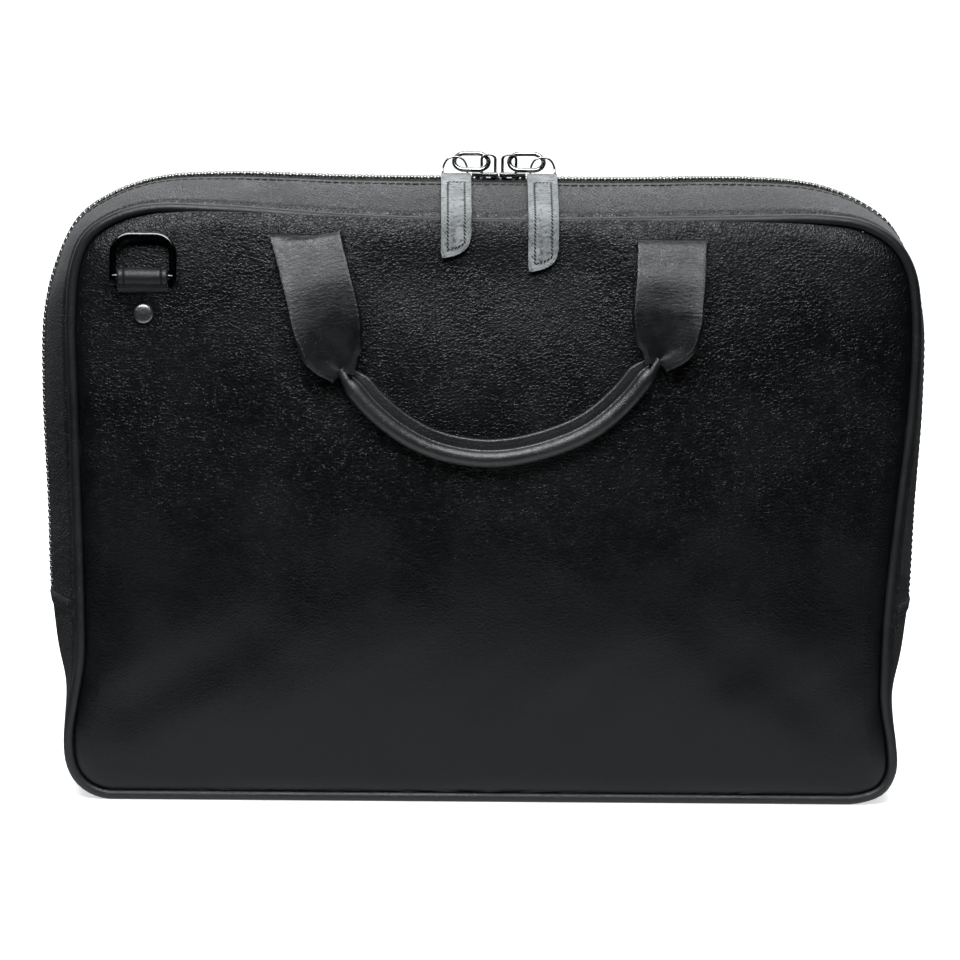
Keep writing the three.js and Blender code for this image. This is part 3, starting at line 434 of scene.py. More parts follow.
front_panel = lay_sheet("front_panel_leather", panel_columns, panel_rows, panel_place)
apply_modifier(front_panel, "SOLIDIFY", thickness=leather, offset=-1)
apply_modifier(front_panel, "SUBSURF", levels=1, render_levels=1)
smooth(front_panel, 60)
back_panel = turned_copy(front_panel, "back_panel_leather")
print("A panel has", len(front_panel.data.polygons), "faces")

# %% [markdown]
# ## Gussets
#
# The gusset is three strips: one each side of the zip, folded back and sewn down at the zip's edge, and one
# under the case whose hems close the zip's two ends. Each is a sheet bent round the outline. Its edges tuck
# in under the piping, and a shallow trough follows each row of stitches.

# %% Bending a strip round the case
def gusset_place(t, y, depth):
    """A place on the gusset: t along the outline, y across, depth in from its outside."""
    back = y > 0
    seam = on_line(seam_rows, np.where(back, -t, t))
    seam_way = inward(seam_rows, np.where(back, -t, t))
    seam[back, 0] *= -1
    seam_way[back, 0] *= -1
    rise = np.sin((1 - np.minimum(np.abs(y) / half_depth, 1)) * math.pi / 2)[:, None]
    point = seam * (1 - rise) + on_line(zip_rows, t) * rise
    way = unit(seam_way * (1 - rise) + inward(zip_rows, t) * rise)
    point = point + way * depth[:, None]
    return np.stack([point[:, 0], y, np.maximum(point[:, 1], 0)], 1)


def tuck(y):
    """How deep the gusset's edge goes down behind the piping."""
    past = np.maximum(np.abs(y) - (half_depth - 3.6 * mm), 0)
    return past**2 / (2.4 * mm)


def strip(name, start, end, steps, y0, y1, columns, depth_at):
    lines = evenly(zip_rows, start, end, 500)

    def place(u, v):
        t = np.interp(u, np.linspace(0, 1, 501), lines)
        y = y0 + (y1 - y0) * v
        return gusset_place(t, y, depth_at(u, y))

    return lay_sheet(name, steps, columns, place)


hem_stitch_inset = 3.2 * mm


def zip_gusset_depth(u, y):
    from_fold = zip_half - np.abs(y)
    fold = np.maximum(1 - np.abs(from_fold) / (1.1 * mm), 0)
    trough = np.exp(-(((np.abs(y) - zip_half - hem_stitch_inset) / (0.7 * mm)) ** 2))
    wave = 0.22 * np.sin(u * 96 + 2 * np.sin(u * 31)) * np.sin((np.abs(y) - zip_half) / (26 * mm) * math.pi)
    return (0.9 * fold**2 + 0.35 * trough + np.maximum(wave, -0.2)) * mm + tuck(y)


edge_y = half_depth - 1.4 * mm
front_gusset = strip("front_zip_gusset_leather", left_hem + 0.01, right_hem - 0.01, 300, -edge_y, -zip_half, 26,
                     zip_gusset_depth)
apply_modifier(front_gusset, "SOLIDIFY", thickness=leather, offset=-1)
smooth(front_gusset, 60)
back_gusset = turned_copy(front_gusset, "back_zip_gusset_leather")
print("The zip's gusset is", round(zip_length * 1000), "mm long and", round((edge_y - zip_half) * 1000, 1), "mm wide")

# %% Bottom gusset
hem_width = 6 * mm
bottom_length = np.linalg.norm(
    np.diff(on_line(zip_rows, np.linspace(right_hem, left_hem + row_count, 900)), axis=0), axis=1).sum()


def bottom_depth(u, y):
    from_end = np.minimum(u, 1 - u) * bottom_length
    hem = -0.9 / (1 + np.exp((from_end - hem_width) / (0.5 * mm)))
    lip = 0.7 * np.maximum(1 - from_end / (0.8 * mm), 0) ** 2
    trough = 0.45 * np.exp(-(((from_end - hem_stitch_inset) / (0.7 * mm)) ** 2))
    creases = 0.2 * np.sin(from_end / (5.2 * mm)) * np.exp(-(((from_end - 45 * mm) / (35 * mm)) ** 2))
    return (hem + lip + trough + creases) * mm + tuck(y)


bottom_gusset = strip("bottom_gusset_leather", right_hem - 0.06, left_hem + row_count + 0.06, 280, -edge_y, edge_y,
                      34, bottom_depth)
apply_modifier(bottom_gusset, "SOLIDIFY", thickness=leather, offset=-1)
smooth(bottom_gusset, 60)
print("The bottom gusset is", round(bottom_length * 1000), "mm long")

# %% [markdown]
# ## Piping
#
# A thin leather cord is sewn into the seam on both sides of the case. It is a round bead rolled along the
# seam line, with the raw edge of the seam hidden behind it.

# %% Piping all round
piping_t = evenly(seam_rows, 0, row_count, 440)
piping_line = on_line(seam_rows, piping_t) + inward(seam_rows, piping_t) * piping_inset
piping_path = np.stack([piping_line[:, 0], 0 * piping_t - half_depth, piping_line[:, 1]], 1)
piping_path[-1] = piping_path[0]
bead = round_profile(piping_radius + 1.5 * gap, 12)
front_piping = roll_along("front_piping_bead", piping_path, bead, (0, -1, 0), 440, 12)
back_piping = turned_copy(front_piping, "back_piping_bead")
print("The piping is", len(front_piping.data.vertices), "corners round")

# %% [markdown]
# ## The zip
#
# Two woven tapes come up from under the gusset's folded edges and carry the teeth. One tooth is modelled as a
# small metal block with softened edges, and copied at 3 mm steps on both tapes, half a step apart, so that
# the two rows mesh.

# %% Tapes
def tape_depth(u, y):
    rise = np.clip((np.abs(y) - chain_half) / (zip_half - chain_half), 0, 1)
    return (0.95 + 1.35 * rise**0.8) * mm


front_tape = strip("front_zip_tape_weave", left_hem + 0.02, right_hem - 0.02, 260, -zip_half - 6 * mm, -2.4 * mm, 8,
                   tape_depth)
apply_modifier(front_tape, "SOLIDIFY", thickness=0.8 * mm, offset=-1)
smooth(front_tape)
back_tape = turned_copy(front_tape, "back_zip_tape_weave")

# %% Teeth
tooth_pitch = 3 * mm
clear_selection()
bpy.ops.mesh.primitive_cube_add(size=1, location=(0, 0, 0))
tooth = bpy.context.object
tooth.scale = (1.9 * mm, 4.4 * mm, 3 * mm)
bpy.ops.object.transform_apply(location=False, rotation=False, scale=True)
apply_modifier(tooth, "BEVEL", width=0.6 * mm, segments=2)
smooth(tooth, 60)

middle_x = 5.9 * mm
post_places = (middle_x - 4.1 * mm, middle_x + 4.1 * mm)


def tooth_places(side):
    count = int(zip_length / tooth_pitch)
    shift = 0.25 if side < 0 else 0.75
    t = evenly(zip_rows, left_hem + 0.03, right_hem - 0.03, 4 * count)
    t = t[[4 * k + int(4 * shift) for k in range(count)]]
    spots, ways = on_line(zip_rows, t), inward(zip_rows, t)
    places = []
    for (x, z), (way_x, way_z) in zip(spots, ways):
        if z > height / 2 and min(abs(x - post) for post in post_places) < 2.4 * mm:
            continue
        centre = Vector((x + way_x * 1.1 * mm, side * 1.15 * mm, z + way_z * 1.1 * mm))
        turn = Matrix(((way_z, 0, -way_x), (0, 1, 0), (-way_x, 0, -way_z))).transposed()
        places.append(Matrix.Translation(centre) @ turn.to_4x4())
    return places


zip_teeth = copies(tooth, "zip_teeth", tooth_places(-1) + tooth_places(1))
print("The zip has", len(tooth_places(-1)) + len(tooth_places(1)), "teeth")

# %% [markdown]
# ## Zip sliders and pulls
#
# The sliders are cast metal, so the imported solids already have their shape. A merged copy of each gets soft
# edges. Each pull is an oval link through the slider's loop, a thin wire arc in the link, and a folded and
# stitched leather tab on the wire.

# %% Sliders
def softened(node, name, width, segments=3, angle=35):
    clear_selection()
    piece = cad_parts[node].copy()
    piece.data = piece.data.copy()
    piece.name = piece.data.name = name
    piece.parent = None
    for key in list(piece.keys()):
        del piece[key]
    bpy.context.scene.collection.objects.link(piece)
    pick(piece)
    bpy.ops.object.mode_set(mode="EDIT")
    bpy.ops.mesh.select_all(action="SELECT")
    bpy.ops.mesh.remove_doubles(threshold=0.01 * mm)
    bpy.ops.mesh.tris_convert_to_quads()
    bpy.ops.object.mode_set(mode="OBJECT")
    apply_modifier(piece, "BEVEL", width=width, segments=segments, limit_method="ANGLE",
                   angle_limit=math.radians(angle))
    smooth(piece, 50)
    return piece


sliders = {side: softened(side + "_slider", side + "_slider_body", 0.3 * mm) for side in ("left", "right")}

# %% Links and wires
link_length, link_width, link_wire, link_tilt = 17.5 * mm, 11.5 * mm, 1.8 * mm, math.radians(45)
bail_from_middle, wire_radius, tab_width = 4.75 * mm, 0.5 * mm, 13.6 * mm
chain_top = float(zip_z(middle_x))
link_z = chain_top + gap + 1.5 * mm + gap + link_wire * 0.75
link_z += (link_width - link_wire) / 2 * math.sin(link_tilt)
fold_radius = 2 * mm
bar_y = -zip_half + 1 * mm + fold_radius
bar_z = chain_top - chain_thickness / 2 + fold_radius


def oval_link(name, side):
    """A round ring is pulled out to an oval by moving its right half, then leaned back over the zip."""
    clear_selection()
    end, straight = (link_width - link_wire) / 2, link_length - link_width
    x = middle_x + side * (bail_from_middle + link_length / 2 - link_wire / 2)
    bpy.ops.mesh.primitive_torus_add(major_radius=end, minor_radius=link_wire * 0.62, major_segments=50,
                                     minor_segments=14, location=(0, 0, 0))
    link = bpy.context.object
    link.name = link.data.name = name
    select_faces(link, lambda face: face.center.x > 0)
    bpy.ops.transform.translate(value=(straight, 0, 0))
    bpy.ops.object.mode_set(mode="OBJECT")
    link.data.transform(Matrix.Translation((x, 0, link_z)) @ Matrix.Rotation(link_tilt, 4, "X")
                        @ Matrix.Translation((-straight / 2, 0, 0)))
    smooth(link)
    return link


def tab_x(side):
    return middle_x + side * (tab_width / 2 + 12.8 * mm)


def wire_path(side):
    side_view = through([(bar_y * (1 - back), bar_z + up * 8.6 * mm) for back, up in
                         ((0, 0), (0.48, 0.08), (0.74, 0.3), (0.86, 0.6), (0.88, 1))], 60)
    half = tab_width / 2 - 1.2 * mm
    leg = [(1, 0), (1, 0.25), (1, 0.5), (0.92, 0.72), (0.62, 0.92)]
    x_mid = tab_x(side) + side * 0.4 * mm
    arc = [(x_mid + s * half, *side_view[int(share * 59)]) for s, share in
           [(-w, share) for w, share in leg] + [(0, 1)] + [(w, share) for w, share in leg[::-1]]]
    return np.vstack([through(arc, 60), [[arc[0][0], bar_y, bar_z]]])


links, wires = {}, {}
for name, side in (("left", -1), ("right", 1)):
    links[name] = oval_link(name + "_pull_link_loop", side)
    wires[name] = roll_along(name + "_pull_wire_arc", wire_path(side), round_profile(wire_radius, 8),
                             (0.01, -1, 0), 90, 8)
print("Links lean back by", round(math.degrees(link_tilt)), "degrees")

# %% [markdown]
# ## Leather tabs of the pulls
#
# A tab is one narrow strip folded over the wire, so it is two layers thick, with its raw edges showing. It
# goes down over the gusset and the piping and ends in a point at one side. The strip is laid along a line
# that runs up the lower layer, round the wire and down the upper one.

# %% Tabs
tab_layer = 1.2 * mm
tab_drop = {"left": 17.5 * mm, "right": 23.5 * mm}


def gusset_top(x, y):
    rise = math.sin((1 - abs(y) / half_depth) * math.pi / 2)
    return float(seam_z(x) + (zip_z(x) - seam_z(x)) * rise)


def tab_line(x, drop):
    """The middle line of the folded tab, as (y, z), from the wire to the tip."""
    lay = tab_layer + 0.5 * mm
    lip_z = float(seam_z(x))
    bend_z, end_z = lip_z - 6 * mm, lip_z - drop

    def on_panel(z):
        return float(reach(x, z, tab_width / 2)[0]) - lay

    edge = -zip_half - 1 * mm
    return [
        (bar_y, bar_z), (edge, gusset_top(x, edge) + lay),
        (-0.58 * half_depth, gusset_top(x, -0.58 * half_depth) + lay),
        (-0.8 * half_depth, gusset_top(x, -0.8 * half_depth) + lay + gap),
        (-half_depth - piping_radius, lip_z + lay + 3 * gap), (-panel_face - lay * 0.75, lip_z - 2 * gap),
        (on_panel(bend_z) - gap, bend_z), (on_panel((bend_z + end_z) / 2), (bend_z + end_z) / 2),
        (on_panel(end_z), end_z),
    ]


def end_cut(share):
    """How much shorter than its tip the tab is, across its width."""
    t = np.linspace(0, 1, 60)
    half = tab_width / 2
    x = (1 - t) ** 2 * -0.91 * half + 2 * t * (1 - t) * half + t**2 * half
    z = (1 - t) ** 2 * gap + 2 * t * (1 - t) * 0.12 * tab_width + t**2 * 0.8 * tab_width
    x, z = np.append(-half, x), np.append(0.22 * tab_width, z)
    return np.interp((share * 2 - 1) * half, x, z)


def folded_tab(name, side, drop):
    x = tab_x(side)
    middle = through(tab_line(x, drop), 120)
    along = unit(np.gradient(middle, axis=0))
    out = np.stack([along[:, 1], -along[:, 0]], 1)
    out *= np.sign(out[len(out) // 2, 1] - out[len(out) // 2, 0])
    half_layer = tab_layer / 2 + 0.02 * mm
    upper = middle + out * half_layer
    lower = middle - out * half_layer
    keep = np.linalg.norm(middle - middle[0], axis=1) > 2.6 * mm
    round_wire = np.linspace(0, math.pi, 14)[1:-1]
    start = along[keep][0]
    way = out[keep][0]
    loop_radius = wire_radius + tab_layer / 2 + 0.12 * mm
    turn = np.array([middle[0] - way * loop_radius * math.cos(a) - start * loop_radius * math.sin(a)
                     for a in round_wire])
    whole = np.vstack([lower[keep][::-1], turn, upper[keep]])
    length = np.linalg.norm(np.diff(whole, axis=0), axis=1).sum()

    def place(u, v):
        cut = end_cut(u) / length
        spot = sample(whole, cut + v * (1 - 2 * cut))
        return np.stack([x + (u - 0.5) * tab_width, spot[:, 0], spot[:, 1]], 1)

    piece = lay_sheet(name, 20, 170, place)
    apply_modifier(piece, "SOLIDIFY", thickness=tab_layer, offset=0, material_offset_rim=1)
    return piece, upper[keep], length


tabs, tab_faces = {}, {}
for name, side in (("left", -1), ("right", 1)):
    tabs[name], tab_faces[name], tab_length = folded_tab(name + "_pull_tab_leather", side, tab_drop[name])
    smooth(tabs[name], 40)
print("A tab's strip is", round(tab_length * 1000, 1), "mm long before it is folded")

# %% [markdown]
# ## Handle straps
#
# Each handle hangs on two straps. A strap is sewn down behind the panel, comes out through a slit, bends over
# and hangs down to a point where its edges curl forward round the grip. It is one sheet whose middle line,
# width and curl change along its length.

# %% Straps
strap_half, strap_thickness, strap_tail = 16 * mm, 2.5 * mm, 70 * mm
flap_drop = {"left": 58.2 * mm, "right": 51.2 * mm}
grip_stand_off, flap_stand_off, grip_radius, grip_sag = 1.2 * mm, 0.5 * mm, 4 * mm, 42.5 * mm
bend_radius = leather / 2 + gap + strap_thickness / 2
strap_width = 2 * strap_half
# down, left lean, right lean, half width, curl; shares of the drop and of the width
flap_rows = np.array([
    (0, 0, 0, 0.5, 0), (0.12, 0.075, 0.01, 0.475, 0.01), (0.3, 0.165, 0.025, 0.475, 0.02),
    (0.46, 0.24, 0.05, 0.48, 0.06), (0.61, 0.3, 0.062, 0.48, 0.12), (0.76, 0.36, 0.065, 0.43, 0.19),
    (0.89, 0.41, 0.085, 0.3, 0.24), (1, 0.53, 0.21, 0.13, 0.25),
])
# the stiff strap leaves its slit in an arch, and stands off the panel by this much at each row
flap_arch = np.array([0, 3.6, 6, 6.4, 5.2, 3.2, 1.6, 0.6]) * mm


def flap_line(side):
    x, top = slit_x[side], float(seam_z(slit_x[side])) - slit_below_seam
    lean = flap_rows[:, 1] if side == "left" else flap_rows[:, 2]
    return np.stack([x - np.sign(x) * lean * strap_width, top - flap_rows[:, 0] * flap_drop[side]], 1)


def strap_sections(side):
    """Rows of middle x, y, z, across x, z, outward y, z, half width and curl, from the sewn end to the tip."""
    x, top = slit_x[side], float(seam_z(slit_x[side])) - slit_below_seam
    lay = gap + strap_thickness / 2
    made = []
    for share in (1, 0.8, 0.6, 0.4, 0.2, 0.08):
        z = top - share * strap_tail
        y = float(reach(x, z, strap_half, np.max)[0]) + leather + lay
        made.append((x, y, z, 1, 0, 1, 0, strap_half, 0))
    spread = float(reach(x, top, strap_half, np.max)[0] - reach(x, top, strap_half, np.min)[0])
    wall = float(panel_y(x, top)[0]) + leather / 2
    radius = bend_radius + spread / 2
    for turn in np.radians([0, 36, 72, 108, 144]):
        made.append((x, wall + radius * math.cos(turn), top + bend_radius * math.sin(turn), 1, 0,
                     math.cos(turn), math.sin(turn), strap_half, 0))
    line = flap_line(side)
    along = unit(np.gradient(line, axis=0))
    along[-2:] = unit(along[-2:] + along[-4:-2] * 1.5)
    for row, (mid_x, mid_z), (way_x, way_z), arch in list(zip(flap_rows, line, along, flap_arch))[1:]:
        half = row[3] * strap_width
        off = lay + flap_stand_off + row[0] * (grip_stand_off - flap_stand_off)
        y = float(reach(mid_x, mid_z, half, np.min)[0]) - off - arch
        made.append((mid_x, y, mid_z, -way_z, way_x, -1, 0, half, row[4] * strap_width))
    return np.array(made)


def leather_strap(name, side):
    sections = through(strap_sections(side), 260)
    run = np.concatenate([[0], np.cumsum(np.linalg.norm(np.diff(sections[:, :3], axis=0), axis=1))])
    run /= run[-1]

    def place(u, v):
        row = np.stack([np.interp(v, run, sections[:, k]) for k in range(9)], 1)
        share = (2 * u - 1)[:, None]
        across = unit(np.stack([row[:, 3], 0 * v, row[:, 4]], 1))
        outward = unit(np.stack([0 * v, row[:, 5], row[:, 6]], 1))
        point = row[:, :3] + across * row[:, 7:8] * share + outward * row[:, 8:9] * share**2
        ragged = 0.12 * mm * np.sin(v * 173 + 5 * np.sin(v * 61)) * (np.abs(share[:, 0]) > 0.99)
        return point + across * (ragged * np.sign(share[:, 0]))[:, None]

    piece = lay_sheet(name, 24, 150, place)
    apply_modifier(piece, "SOLIDIFY", thickness=strap_thickness, offset=0, material_offset_rim=1)
    apply_modifier(piece, "BEVEL", width=0.35 * mm, segments=2, limit_method="ANGLE", angle_limit=math.radians(60))
    smooth(piece, 50)
    return piece


straps = {side: leather_strap("front_strap_" + side + "_leather", side) for side in ("left", "right")}
back_straps = {side: turned_copy(straps[side], "back_strap_" + side + "_leather") for side in ("left", "right")}
print("A strap is", len(straps["left"].data.polygons), "faces")

# %% [markdown]
# ## Rolled grips
#
# The grip is leather rolled round a cord and stitched through the flat flange where its two edges meet, on
# the inner side of the curve. Its profile is a circle with a flange, carried along the sagging line between
# the two straps' tips.

# %% Grip
flange_width, flange_thickness = 5 * mm, 3 * mm
grip_rows = [(0.088, 0.39), (0.204, 0.722), (0.32, 0.91), (0.474, 1), (0.628, 0.935), (0.784, 0.74), (0.9, 0.43)]


def grip_path():
    ends = []
    for side in ("left", "right"):
        line = flap_line(side)
        way = unit((line[-1:] - line[-2:-1]))[0]
        ends.append(line[-1] - way * 3 * mm)
    (x0, z0), (x1, z1) = ends
    inner = [(x0 + (x1 - x0) * across, z0 + (z1 - z0) * across - down * grip_sag) for across, down in grip_rows]
    points = np.array([ends[0], *inner, ends[1]])
    y = reach(points[:, 0], points[:, 1], grip_radius) - grip_stand_off - grip_radius - gap
    return through(np.stack([points[:, 0], y, points[:, 1]], 1), 160)


def grip_profile():
    half = flange_thickness / 2
    meet = math.asin(half / grip_radius)
    turn = np.linspace(math.pi / 2 - meet, -1.5 * math.pi + meet, 26)
    circle = [(grip_radius * math.cos(a), -grip_radius * math.sin(a)) for a in turn]
    edge = -(grip_radius + flange_width)
    neck = -(grip_radius + 0.3 * mm)
    flange = [(-half * 0.86, neck), (-half, neck - 0.8 * mm), (-half, edge + 0.5 * mm), (-half * 0.6, edge),
              (half * 0.6, edge), (half, edge + 0.5 * mm), (half, neck - 0.8 * mm), (half * 0.86, neck)]
    return circle + flange


def grip_size(v):
    """The ends are pinched where the strap's tip closes round them."""
    inside = np.clip(np.minimum(v, 1 - v) / 0.07, 0, 1)
    return 0.45 + 0.55 * inside * inside * (3 - 2 * inside)


grip_line = grip_path()
front_grip = roll_along("front_handle_grip_leather", grip_line, grip_profile(), (0, -1, 0), 140, 60, grip_size)
back_grip = turned_copy(front_grip, "back_handle_grip_leather")
print("The grip is", round(np.linalg.norm(np.diff(grip_line, axis=0), axis=1).sum() * 1000), "mm long")

# %% [markdown]
# ## Strap rings
#
# A dark metal ring hangs at one corner of each panel. It is a flat band bent into an arch, with a round bar
# across its foot. The bar turns inside a rolled leather tab, which goes through the panel and is riveted.

# %% Ring
ring_half, ring_tall, ring_bend, ring_band, ring_thick = 13.4 * mm, 18.1 * mm, 8 * mm, 3.4 * mm, 3 * mm
bar_radius, ring_lean = 1.6 * mm, math.radians(10)


def rounded_box(wide, tall, radius, steps=4):
    points = []
    for corner, start in (((1, 1), 0), ((-1, 1), 90), ((-1, -1), 180), ((1, -1), 270)):
        for a in np.radians(np.linspace(start, start + 90, steps)):
            points.append((corner[0] * (wide / 2 - radius) + radius * math.cos(a),
                           corner[1] * (tall / 2 - radius) + radius * math.sin(a)))
    return points


def lean(points):
    x, y, z = np.asarray(points, float).T
    return np.stack([ring_x + x, ring_y + y * math.cos(ring_lean) + z * math.sin(ring_lean),
                     ring_z - y * math.sin(ring_lean) + z * math.cos(ring_lean)], 1)


arch = [(-ring_half, 0, -bar_radius)]
for centre, start in ((-1, 180), (1, 90)):
    for a in np.radians(np.linspace(start, start - 90, 14)):
        arch.append((centre * (ring_half - ring_bend) + ring_bend * math.cos(a), 0,
                     ring_tall - ring_bend + ring_bend * math.sin(a)))
arch.append((ring_half, 0, -bar_radius))
ring_front = (0, -math.cos(ring_lean), math.sin(ring_lean))
band_profile = rounded_box(ring_thick, ring_band, 0.7 * mm)
front_ring = roll_along("front_ring_band", lean(arch), band_profile, ring_front, 90, 16)
clear_selection()
bpy.ops.mesh.primitive_cylinder_add(vertices=24, radius=bar_radius, depth=2 * ring_half,
                                    location=(ring_x, ring_y, ring_z), rotation=(0, math.pi / 2, 0))
ring_bar = bpy.context.object
bpy.ops.object.transform_apply(location=True, rotation=True, scale=True)
smooth(ring_bar)
clear_selection()
ring_bar.select_set(True)
front_ring.select_set(True)
bpy.context.view_layer.objects.active = front_ring
bpy.ops.object.join()
front_ring.name = front_ring.data.name = "front_d_ring_metal"
back_ring = turned_copy(front_ring, "back_d_ring_metal")

# %% Rolled tab and rivet
tab_half = 11.4 * mm
barrel = [(-1, 1.9), (-1, 3.3), (-0.97, 3.75), (-0.9, 4), (-0.8, 4), (-0.76, 3.9), (-0.735, 3.5), (-0.71, 3.9),
          (-0.66, 4), (-0.3, 4.02), (0, 4.02), (0.3, 4.02), (0.66, 4), (0.71, 3.9), (0.735, 3.5), (0.76, 3.9), (0.8, 4),
          (0.9, 4), (0.97, 3.75), (1, 3.3), (1, 1.9)]


def turn_round(name, profile, centre, sides, steps):
    """A profile of (x, radius) pairs turned round an axis along x."""
    def place(u, v):
        spot = sample(profile, v)
        angle = u * 2 * math.pi
        ring = [spot[:, 0], spot[:, 1] * np.cos(angle), spot[:, 1] * np.sin(angle)]
        return np.stack(ring, 1) + np.asarray(centre)

    piece = lay_sheet(name, sides, steps, place)
    close_up(piece, 0.01 * mm)
    smooth(piece, 40)
    return piece


roll = turn_round("front_ring_tab_roll", [(a * tab_half, r * mm) for a, r in barrel + barrel[:1]],
                  (ring_x, ring_y, ring_z), 48, 90)
tongue_z = ring_z - 7.3 * mm


def behind(z):
    """How far back the tongue lies, behind the panel."""
    return float(reach(ring_x, z, tab_half, np.max)[0]) + leather + gap + 1.3 * mm


tongue_line = through([(ring_y, ring_z - 2.9 * mm), (ring_y + 2 * mm, ring_z - 4.4 * mm),
                       (ring_y + 4.4 * mm, tongue_z + 0.6 * mm), (behind(tongue_z), tongue_z - 0.6 * mm),
                       (behind(ring_z - 12 * mm), ring_z - 12 * mm), (behind(ring_z - 24 * mm), ring_z - 24 * mm)], 60)
tongue = lay_sheet("front_ring_tongue", 10, 40, lambda u, v: np.column_stack(
    [ring_x + (u - 0.5) * 2 * tab_half, sample(tongue_line, v)]))
apply_modifier(tongue, "SOLIDIFY", thickness=2.4 * mm, offset=0)
smooth(tongue)
pick(roll)
tongue.select_set(True)
bpy.ops.object.join()
roll.name = roll.data.name = "front_ring_tab_leather"
back_roll = turned_copy(roll, "back_ring_tab_leather")

rivet_z = ring_z - 17.3 * mm
rivet_front = float(reach(ring_x, rivet_z, 4.5 * mm)[0]) - 0.4 * mm
rivet_back = float(reach(ring_x, rivet_z, tab_half, np.max)[0]) + leather + 3.4 * mm


def rivet_part(radius, start, end, steps):
    """A disc whose front face is inset again and again; each step gives the inset and how far it stands out."""
    clear_selection()
    bpy.ops.mesh.primitive_cylinder_add(vertices=40, radius=radius, depth=end - start, end_fill_type="NGON",
                                        location=(ring_x, (start + end) / 2, rivet_z),
                                        rotation=(math.pi / 2, 0, 0))
    part = bpy.context.object
    bpy.ops.object.transform_apply(location=True, rotation=True, scale=True)
    select_faces(part, lambda face: face.normal.y < -0.9)
    for inset, out in steps:
        bpy.ops.mesh.inset(thickness=inset * mm, depth=out * mm)
    bpy.ops.object.mode_set(mode="OBJECT")
    return part


front_rivet = rivet_part(4.5 * mm, rivet_front, rivet_front + 0.5 * mm,
                         [(0.2, 0.4), (0.6, 0.35), (0.9, 0.23), (1.2, 0.12), (1.1, 0.04)])
rivet_shank = rivet_part(1.5 * mm, rivet_front + 0.2 * mm, rivet_back, [(0.2, 0)])
rivet_plate = rivet_part(4.2 * mm, rivet_back, rivet_back + 1.1 * mm, [(0.3, 0.1)])
pick(front_rivet)
rivet_shank.select_set(True)
rivet_plate.select_set(True)
bpy.ops.object.join()
front_rivet.name = front_rivet.data.name = "front_rivet_metal"
smooth(front_rivet, 40)
back_rivet = turned_copy(front_rivet, "back_rivet_metal")
print("The rivet's cap is at y", round(rivet_front * 1000, 1), "mm")

# %% [markdown]
# ## Stitches
#
# Every seam that shows is sewn with black thread. One stitch is a short, slightly fat capsule. Copies of it
# follow the gusset's folded edges, the hems, the grips' flanges, both pull tabs and the sewn ends of the
# straps, a little sunk in, each turned slightly across its row.

# %% One stitch and its rows
def new_stitch(length, thick):
    clear_selection()
    bpy.ops.mesh.primitive_uv_sphere_add(segments=8, ring_count=6, radius=0.5, location=(0, 0, 0),
                                         rotation=(0, math.pi / 2, 0))
    made = bpy.context.object
    made.scale = (thick, thick, length)
    bpy.ops.object.transform_apply(location=True, rotation=True, scale=True)
    smooth(made, 180)
    return made


def stitch_places(line, normals, pitch, slant=0.0, sink=0.0):
    """Places at even steps along a line: the stitch lies along it and its top looks along the normal."""
    line, normals = np.asarray(line, float), np.asarray(normals, float)
    length = np.linalg.norm(np.diff(line, axis=0), axis=1).sum()
    count = max(int(length / pitch), 1)
    share = (np.arange(count) + 0.5) / count
    spots = sample(line, share)
    ways = unit(sample(line, np.clip(share + 0.3 / count, 0, 1)) - sample(line, np.clip(share - 0.3 / count, 0, 1)))
    run = np.concatenate([[0], np.cumsum(np.linalg.norm(np.diff(line, axis=0), axis=1))]) / length
    tops = unit(np.stack([np.interp(share, run, normals[:, k]) for k in range(3)], 1))
    places = []
    for spot, way, top in zip(spots, ways, tops):
        side = Vector(np.cross(top, way)).normalized()
        up = Vector(way).cross(side).normalized()
        turn = Matrix((Vector(way), side, up)).transposed().to_4x4()
        places.append(Matrix.Translation(Vector(spot) - up * sink) @ turn @ Matrix.Rotation(slant, 4, "Z"))
    return places


def gusset_row(start, end, y, lift):
    t = evenly(zip_rows, start, end, 600)
    y_all = 0 * t + y
    line = gusset_place(t, y_all, 0 * t - lift)
    return line, line - gusset_place(t, y_all, 0 * t + 1 * mm)


edge_line, edge_out = gusset_row(left_hem + 0.05, right_hem - 0.05, -zip_half - hem_stitch_inset, 0)
front_edge_stitches = copies(new_stitch(3.1 * mm, 0.75 * mm), "front_edge_stitches",
                             stitch_places(edge_line, edge_out, 3.6 * mm, 0.1, 0.15 * mm))
back_edge_stitches = turned_copy(front_edge_stitches, "back_edge_stitches")

hem_rows = []
for end_t, way in ((left_hem, -1), (right_hem, 1)):
    step = np.linalg.norm(on_line(zip_rows, np.array([end_t + way * 0.1])) - on_line(zip_rows, np.array([float(end_t)])))
    t_row = end_t + way * 0.1 * hem_stitch_inset / step
    y_row = np.linspace(-edge_y + 3 * mm, edge_y - 3 * mm, 30)
    t_all = 0 * y_row + t_row
    line = gusset_place(t_all, y_row, 0 * y_row - 0.35 * mm)
    hem_rows += stitch_places(line, line - gusset_place(t_all, y_row, 0 * y_row + 1 * mm), 3.6 * mm, 0.1)
hem_stitches = copies(new_stitch(2.9 * mm, 0.75 * mm), "hem_stitches", hem_rows)
print("Edge and hem rows are sewn:", len(hem_rows), "hem stitches")

